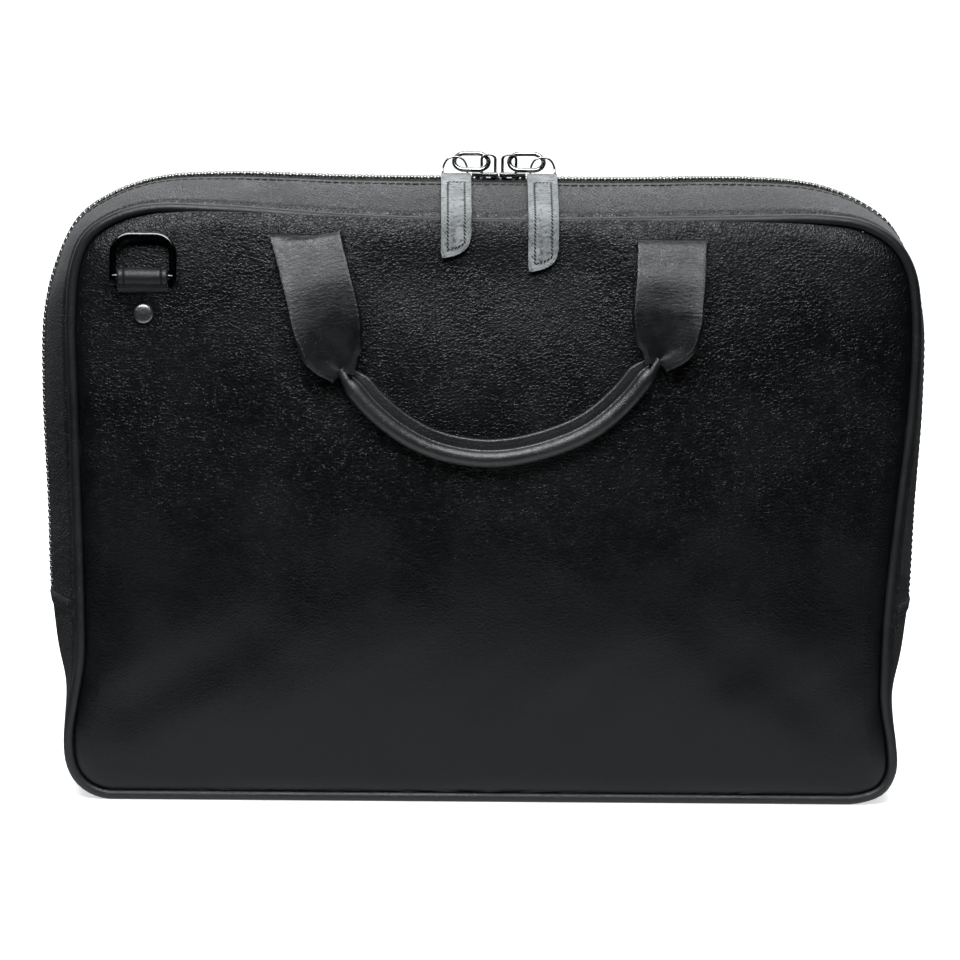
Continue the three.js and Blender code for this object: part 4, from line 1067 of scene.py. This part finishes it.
# %% Stitches of the grips and the pull tabs
grip_ahead = np.array([0, -1, 0])
grip_way = unit(np.gradient(grip_line, axis=0))
grip_side = np.cross(grip_way, grip_ahead)
flange_line = grip_line - grip_side * (grip_radius + flange_width * 0.45)
grip_rows_sewn = []
for face in (-1, 1):
    line = flange_line[13:-13] + np.array([0, face * (flange_thickness / 2), 0])
    grip_rows_sewn += stitch_places(line, np.tile([0, face, 0], (len(line), 1)), 3.4 * mm, 0.1, 0.1 * mm)
front_grip_stitches = copies(new_stitch(2.6 * mm, 0.65 * mm), "front_grip_stitches", grip_rows_sewn)
back_grip_stitches = turned_copy(front_grip_stitches, "back_grip_stitches")


def tab_stitches(name, side):
    """Two rows down the tab's edges, joined across its top and along its pointed end."""
    face = tab_faces[name]
    x = tab_x(side)
    run = np.concatenate([[0], np.cumsum(np.linalg.norm(np.diff(face, axis=0), axis=1))])
    inset, first = 3 * mm, 7.5 * mm
    half = tab_width / 2 - inset
    shares = np.linspace(-1, 1, 14)
    end = run[-1] - end_cut(0.5 + shares * half / tab_width) - 3.2 * mm
    outline = [(-half, d) for d in np.linspace(first, end[0], 40)]
    outline += [(s * half, d) for s, d in zip(shares, end)]
    outline += [(half, d) for d in np.linspace(end[-1], first, 40)]
    outline += [(s * half, first) for s in np.linspace(1, -1, 6)]
    across, down = np.array(outline).T
    y, z = np.interp(down, run, face[:, 0]), np.interp(down, run, face[:, 1])
    slope = unit(np.gradient(face, axis=0))
    out = np.stack([slope[:, 1], -slope[:, 0]], 1)
    out *= np.sign(out[len(out) // 2, 1] - out[len(out) // 2, 0])
    n_y, n_z = np.interp(down, run, out[:, 0]), np.interp(down, run, out[:, 1])
    lift = tab_layer / 2
    line = np.stack([x + across, y + n_y * lift, z + n_z * lift], 1)
    return stitch_places(line, np.stack([0 * n_y, n_y, n_z], 1), 1.7 * mm, 0.5, 0.15 * mm)


tab_threads = {}
for name, side in (("left", -1), ("right", 1)):
    tab_threads[name] = copies(new_stitch(1.9 * mm, 0.9 * mm), name + "_tab_stitches", tab_stitches(name, side))
print("The pull tabs are sewn")

# %% Stitches that hold the straps and the ring's tongue
def u_row(x, top, bottom, half, corner):
    turn = np.radians(np.linspace(180, 270, 8))
    left = [(x - half + corner + corner * math.cos(a), bottom + corner + corner * math.sin(a)) for a in turn]
    right = [(2 * x - px, pz) for px, pz in left[::-1]]
    line = sample([(x - half, top), *left, *right, (x + half, top)], np.linspace(0, 1, 160))
    y = panel_y(line[:, 0], line[:, 1])
    return np.stack([line[:, 0], y, line[:, 1]], 1)


sewn = []
for side, x in slit_x.items():
    top = float(seam_z(x)) - slit_below_seam
    line = u_row(x, top - 6 * mm, top - strap_tail + 4 * mm, 14 * mm, 9 * mm)
    sewn += stitch_places(line, np.tile([0, -1, 0], (len(line), 1)), 3.6 * mm, 0.1, 0.18 * mm)
line = u_row(ring_x, ring_z - 9.5 * mm, ring_z - 24.5 * mm, 9 * mm, 5 * mm)
sewn += stitch_places(line, np.tile([0, -1, 0], (len(line), 1)), 3.2 * mm, 0.1, 0.18 * mm)
front_panel_stitches = copies(new_stitch(2.7 * mm, 0.7 * mm), "front_panel_stitches", sewn)
back_panel_stitches = turned_copy(front_panel_stitches, "back_panel_stitches")
print("Each panel has", len(sewn), "stitches")

# %% [markdown]
# ## Materials
#
# All patterns are computed from a point's place on the object, or from a sheet's own grid where a pattern
# follows the surface. A few small node groups are shared: leather grain, creases pulled towards a fixing,
# and fine creases across a strip.

# %% Node tools
def add_node(tree, kind, settings=None, **inputs):
    made = tree.nodes.new(kind)
    for key, value in (settings or {}).items():
        setattr(made, key, value)
    for key, value in inputs.items():
        name = key.replace("_", " ")
        socket = made.inputs[int(name[1:])] if name[0] == "i" and name[1:].isdigit() else made.inputs[name]
        if isinstance(value, bpy.types.NodeSocket):
            tree.links.new(value, socket)
        else:
            socket.default_value = value
    return made


def calc(tree, operation, a, b=0.0, c=0.0):
    return add_node(tree, "ShaderNodeMath", {"operation": operation}, i0=a, i1=b, i2=c).outputs[0]


def vector_calc(tree, operation, a, b=(0, 0, 0), out=0):
    made = add_node(tree, "ShaderNodeVectorMath", {"operation": operation}, i0=a)
    if isinstance(b, bpy.types.NodeSocket):
        tree.links.new(b, made.inputs[1])
    elif operation == "SCALE":
        made.inputs["Scale"].default_value = b
    else:
        made.inputs[1].default_value = b
    return made.outputs[out]


def remap(tree, value, low, high, to_low=0.0, to_high=1.0):
    made = add_node(tree, "ShaderNodeMapRange", {"interpolation_type": "SMOOTHSTEP"}, Value=value)
    for key, number in (("From Min", low), ("From Max", high), ("To Min", to_low), ("To Max", to_high)):
        made.inputs[key].default_value = number
    return made.outputs[0]


def blend_colours(tree, share, a, b):
    return add_node(tree, "ShaderNodeMix", {"data_type": "RGBA"}, i0=share, i6=a, i7=b).outputs[2]


def new_group(name, inputs, outputs):
    group = bpy.data.node_groups.new(name, "ShaderNodeTree")
    for key, kind, value in inputs:
        socket = group.interface.new_socket(name=key, in_out="INPUT", socket_type=kind)
        if value is not None:
            socket.default_value = value
    for key in outputs:
        group.interface.new_socket(name=key, in_out="OUTPUT", socket_type="NodeSocketFloat")
    return group, group.nodes.new("NodeGroupInput"), group.nodes.new("NodeGroupOutput")


def use_group(tree, group, **inputs):
    return add_node(tree, "ShaderNodeGroup", {"node_tree": group}, **inputs)


# %% Grain group
VECTOR, FLOAT = "NodeSocketVector", "NodeSocketFloat"
grain, g_in, g_out = new_group(
    "leather grain", [("Place", VECTOR, None), ("Pebbles per metre", FLOAT, 800.0)], ["Height", "Crease"])
drift = add_node(grain, "ShaderNodeTexNoise", None, Vector=g_in.outputs[0], Scale=620.0, Detail=1.0)
shift = vector_calc(grain, "SCALE", drift.outputs["Color"], 1.7 * mm)
moved = vector_calc(grain, "ADD", g_in.outputs[0], shift)
cells = add_node(grain, "ShaderNodeTexVoronoi", {"feature": "DISTANCE_TO_EDGE"}, Vector=moved,
                 Scale=g_in.outputs[1], Randomness=0.95)
pebble = remap(grain, cells.outputs["Distance"], 0.0, 0.26)
fine = add_node(grain, "ShaderNodeTexNoise", None, Vector=g_in.outputs[0], Scale=1300.0, Detail=1.0)
broad = add_node(grain, "ShaderNodeTexNoise", None, Vector=g_in.outputs[0], Scale=260.0, Detail=2.0, Roughness=0.6)
depth = calc(grain, "MULTIPLY", pebble, remap(grain, broad.outputs[0], 0.3, 0.7, 0.45, 1.0))
tall = calc(grain, "ADD", depth, calc(grain, "MULTIPLY", fine.outputs[0], 0.5))
tall = calc(grain, "ADD", tall, calc(grain, "MULTIPLY", broad.outputs[0], 0.9))
grain.links.new(tall, g_out.inputs[0])
# The Crease output is high in the cracks between the pebbles; the leathers use it for painted shade there and for
# rougher cracks.
grain.links.new(remap(grain, cells.outputs["Distance"], 0.0, 0.09, 1.0, 0.0), g_out.inputs[1])

# %% Pulled creases group
pulled, p_in, p_out = new_group(
    "pulled creases", [("Place", VECTOR, None), ("Fixing", VECTOR, None), ("Reach", FLOAT, 0.03),
                       ("Creases round", FLOAT, 9.0)], ["Height", "Mask"])
away = vector_calc(pulled, "SUBTRACT", p_in.outputs[0], p_in.outputs[1])
parts = add_node(pulled, "ShaderNodeSeparateXYZ", None, Vector=away)
far = vector_calc(pulled, "LENGTH", away, out=1)
angle = calc(pulled, "ARCTAN2", parts.outputs[2], parts.outputs[0])
polar = add_node(pulled, "ShaderNodeCombineXYZ", None, X=calc(pulled, "MULTIPLY", angle, p_in.outputs[3]),
                 Y=calc(pulled, "MULTIPLY", far, 90.0))
rays = add_node(pulled, "ShaderNodeTexNoise", None, Vector=polar.outputs[0], Scale=1.0, Detail=1.0, Roughness=0.6)
fade = calc(pulled, "EXPONENT", calc(pulled, "MULTIPLY", calc(pulled, "DIVIDE", far, p_in.outputs[2]), -1.0))
pulled.links.new(calc(pulled, "MULTIPLY", rays.outputs[0], fade), p_out.inputs[0])
pulled.links.new(fade, p_out.inputs[1])

# %% Fine creases group
across, a_in, a_out = new_group("creases across", [("Place", VECTOR, None), ("Creases", FLOAT, 30.0)], ["Height"])
stretched = add_node(across, "ShaderNodeMapping", None, Vector=a_in.outputs[0], Scale=(1.2, 14, 1))
lines = add_node(across, "ShaderNodeTexNoise", None, Vector=stretched.outputs[0], Scale=a_in.outputs[1], Detail=4.0,
                 Roughness=0.62, Distortion=0.4)
across.links.new(lines.outputs[0], a_out.inputs[0])
print("Node groups:", [group.name for group in bpy.data.node_groups])

# %% [markdown]
# ### Black leather
#
# The panels are pebbled leather, dyed through and lightly glazed. The grain is strong at the top, where the
# leather is full, and nearly flat near the foot, where it is stretched. Creases run out from the straps and
# from the ring. The gusset is the same leather, without the pulled creases.

# %% Black leather
def new_material(name, colour, roughness, **sockets):
    made = bpy.data.materials.new(name)
    made.use_nodes = True
    shader = made.node_tree.nodes["Principled BSDF"]
    shader.inputs["Base Color"].default_value = (*colour, 1)
    shader.inputs["Roughness"].default_value = roughness
    for key, value in sockets.items():
        shader.inputs[key.replace("_", " ")].default_value = value
    made.diffuse_color = (*colour, 1)
    return made, made.node_tree, shader


def relief(tree, shader, height_socket, distance, strength=1.0, socket="Normal"):
    made = add_node(tree, "ShaderNodeBump", None, Strength=strength, Distance=distance, Height=height_socket)
    tree.links.new(made.outputs[0], shader.inputs[socket])


def case_place(tree):
    """A point's place, turned so that the back of the case reads as the front."""
    place = add_node(tree, "ShaderNodeTexCoord").outputs["Object"]
    parts = add_node(tree, "ShaderNodeSeparateXYZ", None, Vector=place)
    side = calc(tree, "MULTIPLY", calc(tree, "SIGN", parts.outputs[1]), -1.0)
    turned = add_node(tree, "ShaderNodeCombineXYZ", None, X=calc(tree, "MULTIPLY", parts.outputs[0], side),
                      Y=calc(tree, "MULTIPLY", parts.outputs[1], side), Z=parts.outputs[2])
    return turned.outputs[0], parts


def leather_look(name, colour, roughness, grain_size, grain_depth, fixings=(), flat_below=None, shine=0.5):
    made, tree, shader = new_material(name, colour, roughness, Specular_IOR_Level=shine)
    place, parts = case_place(tree)
    pebbles = use_group(tree, grain, Place=place, Pebbles_per_metre=1 / grain_size)
    tall = pebbles.outputs["Height"]
    if flat_below:
        edge = add_node(tree, "ShaderNodeTexNoise", None, Vector=place, Scale=22.0, Detail=0.0)
        level = calc(tree, "ADD", parts.outputs[2], calc(tree, "MULTIPLY", edge.outputs[0], 0.05))
        tall = calc(tree, "MULTIPLY", tall, remap(tree, level, *flat_below, 0.22, 1.0))
    for fixing, reach_out, count, weight in fixings:
        creases = use_group(tree, pulled, Place=place, Fixing=fixing, Reach=reach_out, Creases_round=count)
        tall = calc(tree, "ADD", tall, calc(tree, "MULTIPLY", creases.outputs["Height"], weight))
    relief(tree, shader, tall, grain_depth)
    cloudy = add_node(tree, "ShaderNodeTexNoise", None, Vector=place, Scale=30.0, Detail=2.0)
    light = [c * 1.5 for c in colour]
    tint = blend_colours(tree, remap(tree, cloudy.outputs[0], 0.35, 0.7), (*colour, 1), (*light, 1))
    # Painted shade: the cracks between the pebbles are darkened towards black.
    tint = blend_colours(tree, calc(tree, "MULTIPLY", pebbles.outputs["Crease"], 0.6), tint, (0.001, 0.001, 0.001, 1))
    tree.links.new(tint, shader.inputs["Base Color"])
    rough = calc(tree, "ADD", remap(tree, cloudy.outputs[0], 0.3, 0.7, roughness - 0.05, roughness + 0.06),
                 calc(tree, "MULTIPLY", pebbles.outputs["Crease"], 0.15))
    tree.links.new(rough, shader.inputs["Roughness"])
    return made


strap_top_z = {side: float(seam_z(x)) - slit_below_seam for side, x in slit_x.items()}
fixings = [((ring_x, -0.046, ring_z - 8 * mm), 0.018, 6.0, 5.0),
           ((slit_x["left"] - 13 * mm, -0.048, strap_top_z["left"] - 10 * mm), 0.018, 5.0, 4.0),
           ((slit_x["left"] + 17 * mm, -0.048, strap_top_z["left"] - 6 * mm), 0.018, 5.0, 4.0),
           ((slit_x["right"], -0.048, strap_top_z["right"] - 4 * mm), 0.024, 6.0, 4.0)]
black = (0.0015, 0.0018, 0.0024)
panel_leather = leather_look("pebbled panel leather", black, 0.34, 1.6 * mm, 0.16 * mm, fixings, (0.07, 0.25), 0.3)
gusset_leather = leather_look("pebbled gusset leather", (0.004, 0.0045, 0.0052), 0.4, 1.3 * mm, 0.16 * mm)
piping_leather = leather_look("smooth piping leather", (0.004, 0.0045, 0.0052), 0.42, 0.8 * mm, 0.05 * mm)
print("Black leathers:", panel_leather.name, gusset_leather.name, piping_leather.name)

# %% [markdown]
# ### Strap, tab and edge leather
#
# Straps, grips and tabs are cut from a firmer, smooth leather. It shows fine creases across its length where
# it bends, with painted shade in their hollows. Its cut edges are left raw, and are brown where the dye didn't go
# through.

# %% Strap leather
def strip_look(name, colour, light, roughness, creases, depth):
    made, tree, shader = new_material(name, colour, roughness, Specular_IOR_Level=0.5)
    sheet = add_node(tree, "ShaderNodeTexCoord").outputs["UV"]
    place = add_node(tree, "ShaderNodeTexCoord").outputs["Object"]
    wrinkles = use_group(tree, across, Place=sheet, Creases=creases)
    pebbles = use_group(tree, grain, Place=place, Pebbles_per_metre=1500.0)
    tall = calc(tree, "ADD", calc(tree, "MULTIPLY", wrinkles.outputs[0], 1.2),
                calc(tree, "MULTIPLY", pebbles.outputs["Height"], 0.2))
    relief(tree, shader, tall, depth)
    worn = add_node(tree, "ShaderNodeTexNoise", None, Vector=place, Scale=90.0, Detail=5.0)
    tint = blend_colours(tree, remap(tree, worn.outputs[0], 0.35, 0.7), (*colour, 1), (*light, 1))
    # Painted shade: the hollows of the fine creases are darkened towards black.
    tint = blend_colours(tree, remap(tree, wrinkles.outputs[0], 0.32, 0.5, 0.75, 0.0), tint, (0.003, 0.003, 0.003, 1))
    tree.links.new(tint, shader.inputs["Base Color"])
    tree.links.new(remap(tree, worn.outputs[0], 0.3, 0.7, roughness - 0.05, roughness + 0.08), shader.inputs["Roughness"])
    return made


strap_leather = strip_look("smooth strap leather", (0.004, 0.0045, 0.005), (0.008, 0.0085, 0.009), 0.38, 9.0, 0.2 * mm)
tab_leather = strip_look("grey tab leather", (0.16, 0.168, 0.17), (0.3, 0.31, 0.31), 0.45, 5.0, 0.6 * mm)
grip_leather = leather_look("grip leather", (0.006, 0.0066, 0.0074), 0.36, 1 * mm, 0.05 * mm, shine=0.7)

raw_edge, tree, shader = new_material("raw leather edge", (0.03, 0.025, 0.016), 0.8)
place = add_node(tree, "ShaderNodeTexCoord").outputs["Object"]
fibres = add_node(tree, "ShaderNodeTexNoise", None, Vector=place, Scale=1300.0, Detail=5.0)
fibre_tint = blend_colours(tree, remap(tree, fibres.outputs[0], 0.35, 0.65), (0.02, 0.017, 0.011, 1), (0.13, 0.1, 0.055, 1))
tree.links.new(fibre_tint, shader.inputs["Base Color"])
relief(tree, shader, fibres.outputs[0], 0.3 * mm)

# %% [markdown]
# ### Metal, tape and thread
#
# The zip is polished nickel with handling marks, the rings are dark polished gunmetal, and the rivets are
# brushed. Tape and thread are black polyester: the tape shows a fine diagonal weave.

# %% Metals
def metal_look(name, colour, roughness, brushed=(1, 1, 1), spread=0.08):
    made, tree, shader = new_material(name, colour, roughness, Metallic=1.0)
    place = add_node(tree, "ShaderNodeTexCoord").outputs["Object"]
    stretched = add_node(tree, "ShaderNodeMapping", None, Vector=place, Scale=brushed)
    marks = add_node(tree, "ShaderNodeTexNoise", None, Vector=stretched.outputs[0], Scale=700.0, Detail=4.0)
    tree.links.new(remap(tree, marks.outputs[0], 0.3, 0.7, max(roughness - spread, 0.02), roughness + spread),
                   shader.inputs["Roughness"])
    dark = [c * 0.7 for c in colour]
    tree.links.new(blend_colours(tree, remap(tree, marks.outputs[0], 0.3, 0.65), (*dark, 1), (*colour, 1)),
                   shader.inputs["Base Color"])
    relief(tree, shader, marks.outputs[0], 0.015 * mm)
    return made


nickel = metal_look("polished nickel", (0.36, 0.355, 0.345), 0.18)
teeth_nickel = metal_look("zip teeth nickel", (0.33, 0.32, 0.3), 0.3)
gunmetal = metal_look("polished gunmetal", (0.07, 0.07, 0.075), 0.12, spread=0.04)
dark_nickel = metal_look("brushed dark nickel", (0.3, 0.3, 0.3), 0.36, (1, 1, 6), 0.1)

zip_tape, tree, shader = new_material("woven zip tape", (0.008, 0.008, 0.009), 0.85)
sheet = add_node(tree, "ShaderNodeTexCoord").outputs["UV"]
weave = add_node(tree, "ShaderNodeTexWave", {"bands_direction": "DIAGONAL"},
                 Vector=add_node(tree, "ShaderNodeMapping", None, Vector=sheet, Scale=(760, 14, 1)).outputs[0],
                 Scale=0.5, Distortion=0.3)
relief(tree, shader, weave.outputs["Fac"], 0.2 * mm)
# Painted light and shade: the weave's raised bands are lighter and its grooves darker.
tree.links.new(blend_colours(tree, weave.outputs["Fac"], (0.004, 0.004, 0.0045, 1), (0.016, 0.016, 0.017, 1)),
               shader.inputs["Base Color"])

thread, tree, shader = new_material("black thread", (0.004, 0.004, 0.0045), 0.7)
place = add_node(tree, "ShaderNodeTexCoord").outputs["Object"]
twist = add_node(tree, "ShaderNodeTexWave", {"bands_direction": "DIAGONAL"}, Vector=place, Scale=900.0)
relief(tree, shader, twist.outputs["Fac"], 0.08 * mm)
# Painted light and shade: the twist's ridges are lighter and its grooves darker.
tree.links.new(blend_colours(tree, twist.outputs["Fac"], (0.002, 0.002, 0.002, 1), (0.008, 0.008, 0.009, 1)),
               shader.inputs["Base Color"])
print("Materials:", len(bpy.data.materials))

# %% [markdown]
# ## Dressing the frame
#
# Each piece gets its finish, rides on the body that its solid belongs to and stands for that solid. Only the
# rings swing, all the rest is the case itself.

# %% Finishes, bodies and the solids they stand for
dressed = [
    (front_panel, panel_leather, "black_leather", "front_panel"),
    (back_panel, panel_leather, "black_leather", "back_panel"),
    (front_gusset, gusset_leather, "black_leather", "front_zip_gusset"),
    (back_gusset, gusset_leather, "black_leather", "back_zip_gusset"),
    (bottom_gusset, gusset_leather, "black_leather", "bottom_gusset"),
    (front_piping, piping_leather, "black_leather", "front_piping"),
    (back_piping, piping_leather, "black_leather", "back_piping"),
    (front_tape, zip_tape, "zip_tape", "front_zip_tape"),
    (back_tape, zip_tape, "zip_tape", "back_zip_tape"),
    (zip_teeth, teeth_nickel, "nickel", "zip_chain"),
    (front_grip, grip_leather, "black_leather", "front_handle_grip"),
    (back_grip, grip_leather, "black_leather", "back_handle_grip"),
    (roll, piping_leather, "black_leather", "front_ring_tab"),
    (back_roll, piping_leather, "black_leather", "back_ring_tab"),
    (front_rivet, dark_nickel, "dark_nickel", "front_rivet"),
    (back_rivet, dark_nickel, "dark_nickel", "back_rivet"),
    (front_ring, gunmetal, "gunmetal", "front_d_ring"),
    (back_ring, gunmetal, "gunmetal", "back_d_ring"),
]
for side in ("left", "right"):
    dressed += [
        (straps[side], strap_leather, "black_leather", "front_strap_" + side),
        (back_straps[side], strap_leather, "black_leather", "back_strap_" + side),
        (sliders[side], nickel, "nickel", side + "_slider"),
        (links[side], nickel, "nickel", side + "_pull_link"),
        (wires[side], nickel, "nickel", side + "_pull_wire"),
        (tabs[side], tab_leather, "grey_leather", side + "_pull_tab"),
        (tab_threads[side], thread, "black_leather", None),
    ]
for sewing in (front_edge_stitches, back_edge_stitches, hem_stitches, front_grip_stitches, back_grip_stitches,
               front_panel_stitches, back_panel_stitches):
    dressed.append((sewing, thread, "black_leather", None))

ring_bodies = {front_ring: "front_ring", back_ring: "back_ring"}
raw_edged = [*straps.values(), *back_straps.values(), *tabs.values()]
for piece, material, slot, node in dressed:
    piece.data.materials.clear()
    piece.data.materials.append(material)
    if piece in raw_edged:
        piece.data.materials.append(raw_edge)
    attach(piece, ring_bodies.get(piece, "case"))
    if node:
        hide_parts(node)
print(len(dressed), "pieces are dressed")

# %% [markdown]
# ## The studio
#
# The case stands on a plain white floor under one large soft light, above and in front of it. The room behind
# it is bright and the room in front is dark. The floor's light reaches the leather only from close by, as if
# black cards lay farther out. This keeps the black leather deep and lets only its edges and folds catch the light.

# %% Floor
clear_selection()
bpy.ops.mesh.primitive_plane_add(size=12, location=(0, 0, -0.2 * mm))
floor = bpy.context.object
floor.name = "studio_floor"
floor_paint, tree, shader = new_material("white floor", (0.9, 0.9, 0.9), 0.8)
seen = add_node(tree, "ShaderNodeLightPath").outputs["Is Camera Ray"]
place = add_node(tree, "ShaderNodeTexCoord").outputs["Object"]
from_case = vector_calc(tree, "LENGTH", place, out=1)
from_front = vector_calc(tree, "MULTIPLY", vector_calc(tree, "ADD", place, (0, 0.1, 0)), (0.5, 1, 1))
near = remap(tree, vector_calc(tree, "LENGTH", from_front, out=1), 0.1, 0.22, 0.9, 0.005)
tree.links.new(blend_colours(tree, calc(tree, "MAXIMUM", seen, near), (0, 0, 0, 1), (0.9, 0.9, 0.9, 1)),
               shader.inputs["Base Color"])
# Painted light: for camera rays the floor glows, from 0.62 next to the case to full strength farther out, so it reads
# white while the case's real shadow still shows close by.
shader.inputs["Emission Color"].default_value = (1, 1, 1, 1)
bright = remap(tree, from_case, 0.15, 0.6, 0.62, 1.0)
tree.links.new(calc(tree, "MULTIPLY", seen, bright), shader.inputs["Emission Strength"])
shader.inputs["Specular IOR Level"].default_value = 0.1
floor.data.materials.append(floor_paint)

# %% Lights
def softbox(name, place, target, wide, tall, power, colour=(1, 1, 1)):
    clear_selection()
    bpy.ops.object.light_add(type="AREA", location=place)
    lamp = bpy.context.object
    lamp.name = name
    lamp.data.shape = "RECTANGLE"
    lamp.data.size, lamp.data.size_y, lamp.data.energy, lamp.data.color = wide, tall, power, colour
    lamp.rotation_euler = (Vector(target) - Vector(place)).to_track_quat("-Z", "Y").to_euler()
    return lamp


softbox("key_softbox", (-0.15, -0.85, 1.25), (0, 0, 0.12), 1.2, 0.7, 34, (0.95, 0.98, 1))
softbox("back_softbox", (0.1, 0.75, 1.3), (0, 0.05, 0.2), 1.3, 0.6, 9)
world = bpy.data.worlds.new("studio room")
bpy.context.scene.world = world
world.use_nodes = True
tree = world.node_tree
background = tree.nodes["Background"]
looking = add_node(tree, "ShaderNodeTexCoord").outputs["Generated"]
direction = add_node(tree, "ShaderNodeSeparateXYZ", None, Vector=looking)
room = remap(tree, direction.outputs[1], 0.0, 0.8, 0.005, 1.2)
seen = add_node(tree, "ShaderNodeLightPath").outputs["Is Camera Ray"]
tree.links.new(calc(tree, "MAXIMUM", room, seen), background.inputs["Strength"])
background.inputs["Color"].default_value = (0.93, 0.97, 1, 1)

# %% Camera
target, distance = Vector((0, 0, 0.14)), 1.75
azimuth, elevation, roll_angle = math.radians(-1), math.radians(11), math.radians(0.7)
back_way = Vector((math.sin(azimuth) * math.cos(elevation), -math.cos(azimuth) * math.cos(elevation),
                   math.sin(elevation)))
level = (-back_way).cross(Vector((0, 0, 1))).normalized()
upward = level.cross(-back_way)
camera_right = level * math.cos(roll_angle) + upward * math.sin(roll_angle)
camera_up = -level * math.sin(roll_angle) + upward * math.cos(roll_angle)
pixel = distance / 3763
aim = target - camera_right * 2 * pixel + camera_up * 10 * pixel
bpy.ops.object.camera_add(location=target + back_way * distance)
camera = bpy.context.object
look = (aim - camera.location).normalized()
side_way = look.cross(camera_up).normalized()
camera.matrix_world = Matrix.Translation(camera.location) @ Matrix(
    (side_way, side_way.cross(look), -look)).transposed().to_4x4()
camera.data.lens = 36 * 3763 / 960
camera.data.clip_start, camera.data.clip_end = 0.05, 50
bpy.context.scene.camera = camera
bpy.context.scene.view_settings.view_transform = "Standard"
print("The camera looks from", [round(v, 3) for v in camera.location])
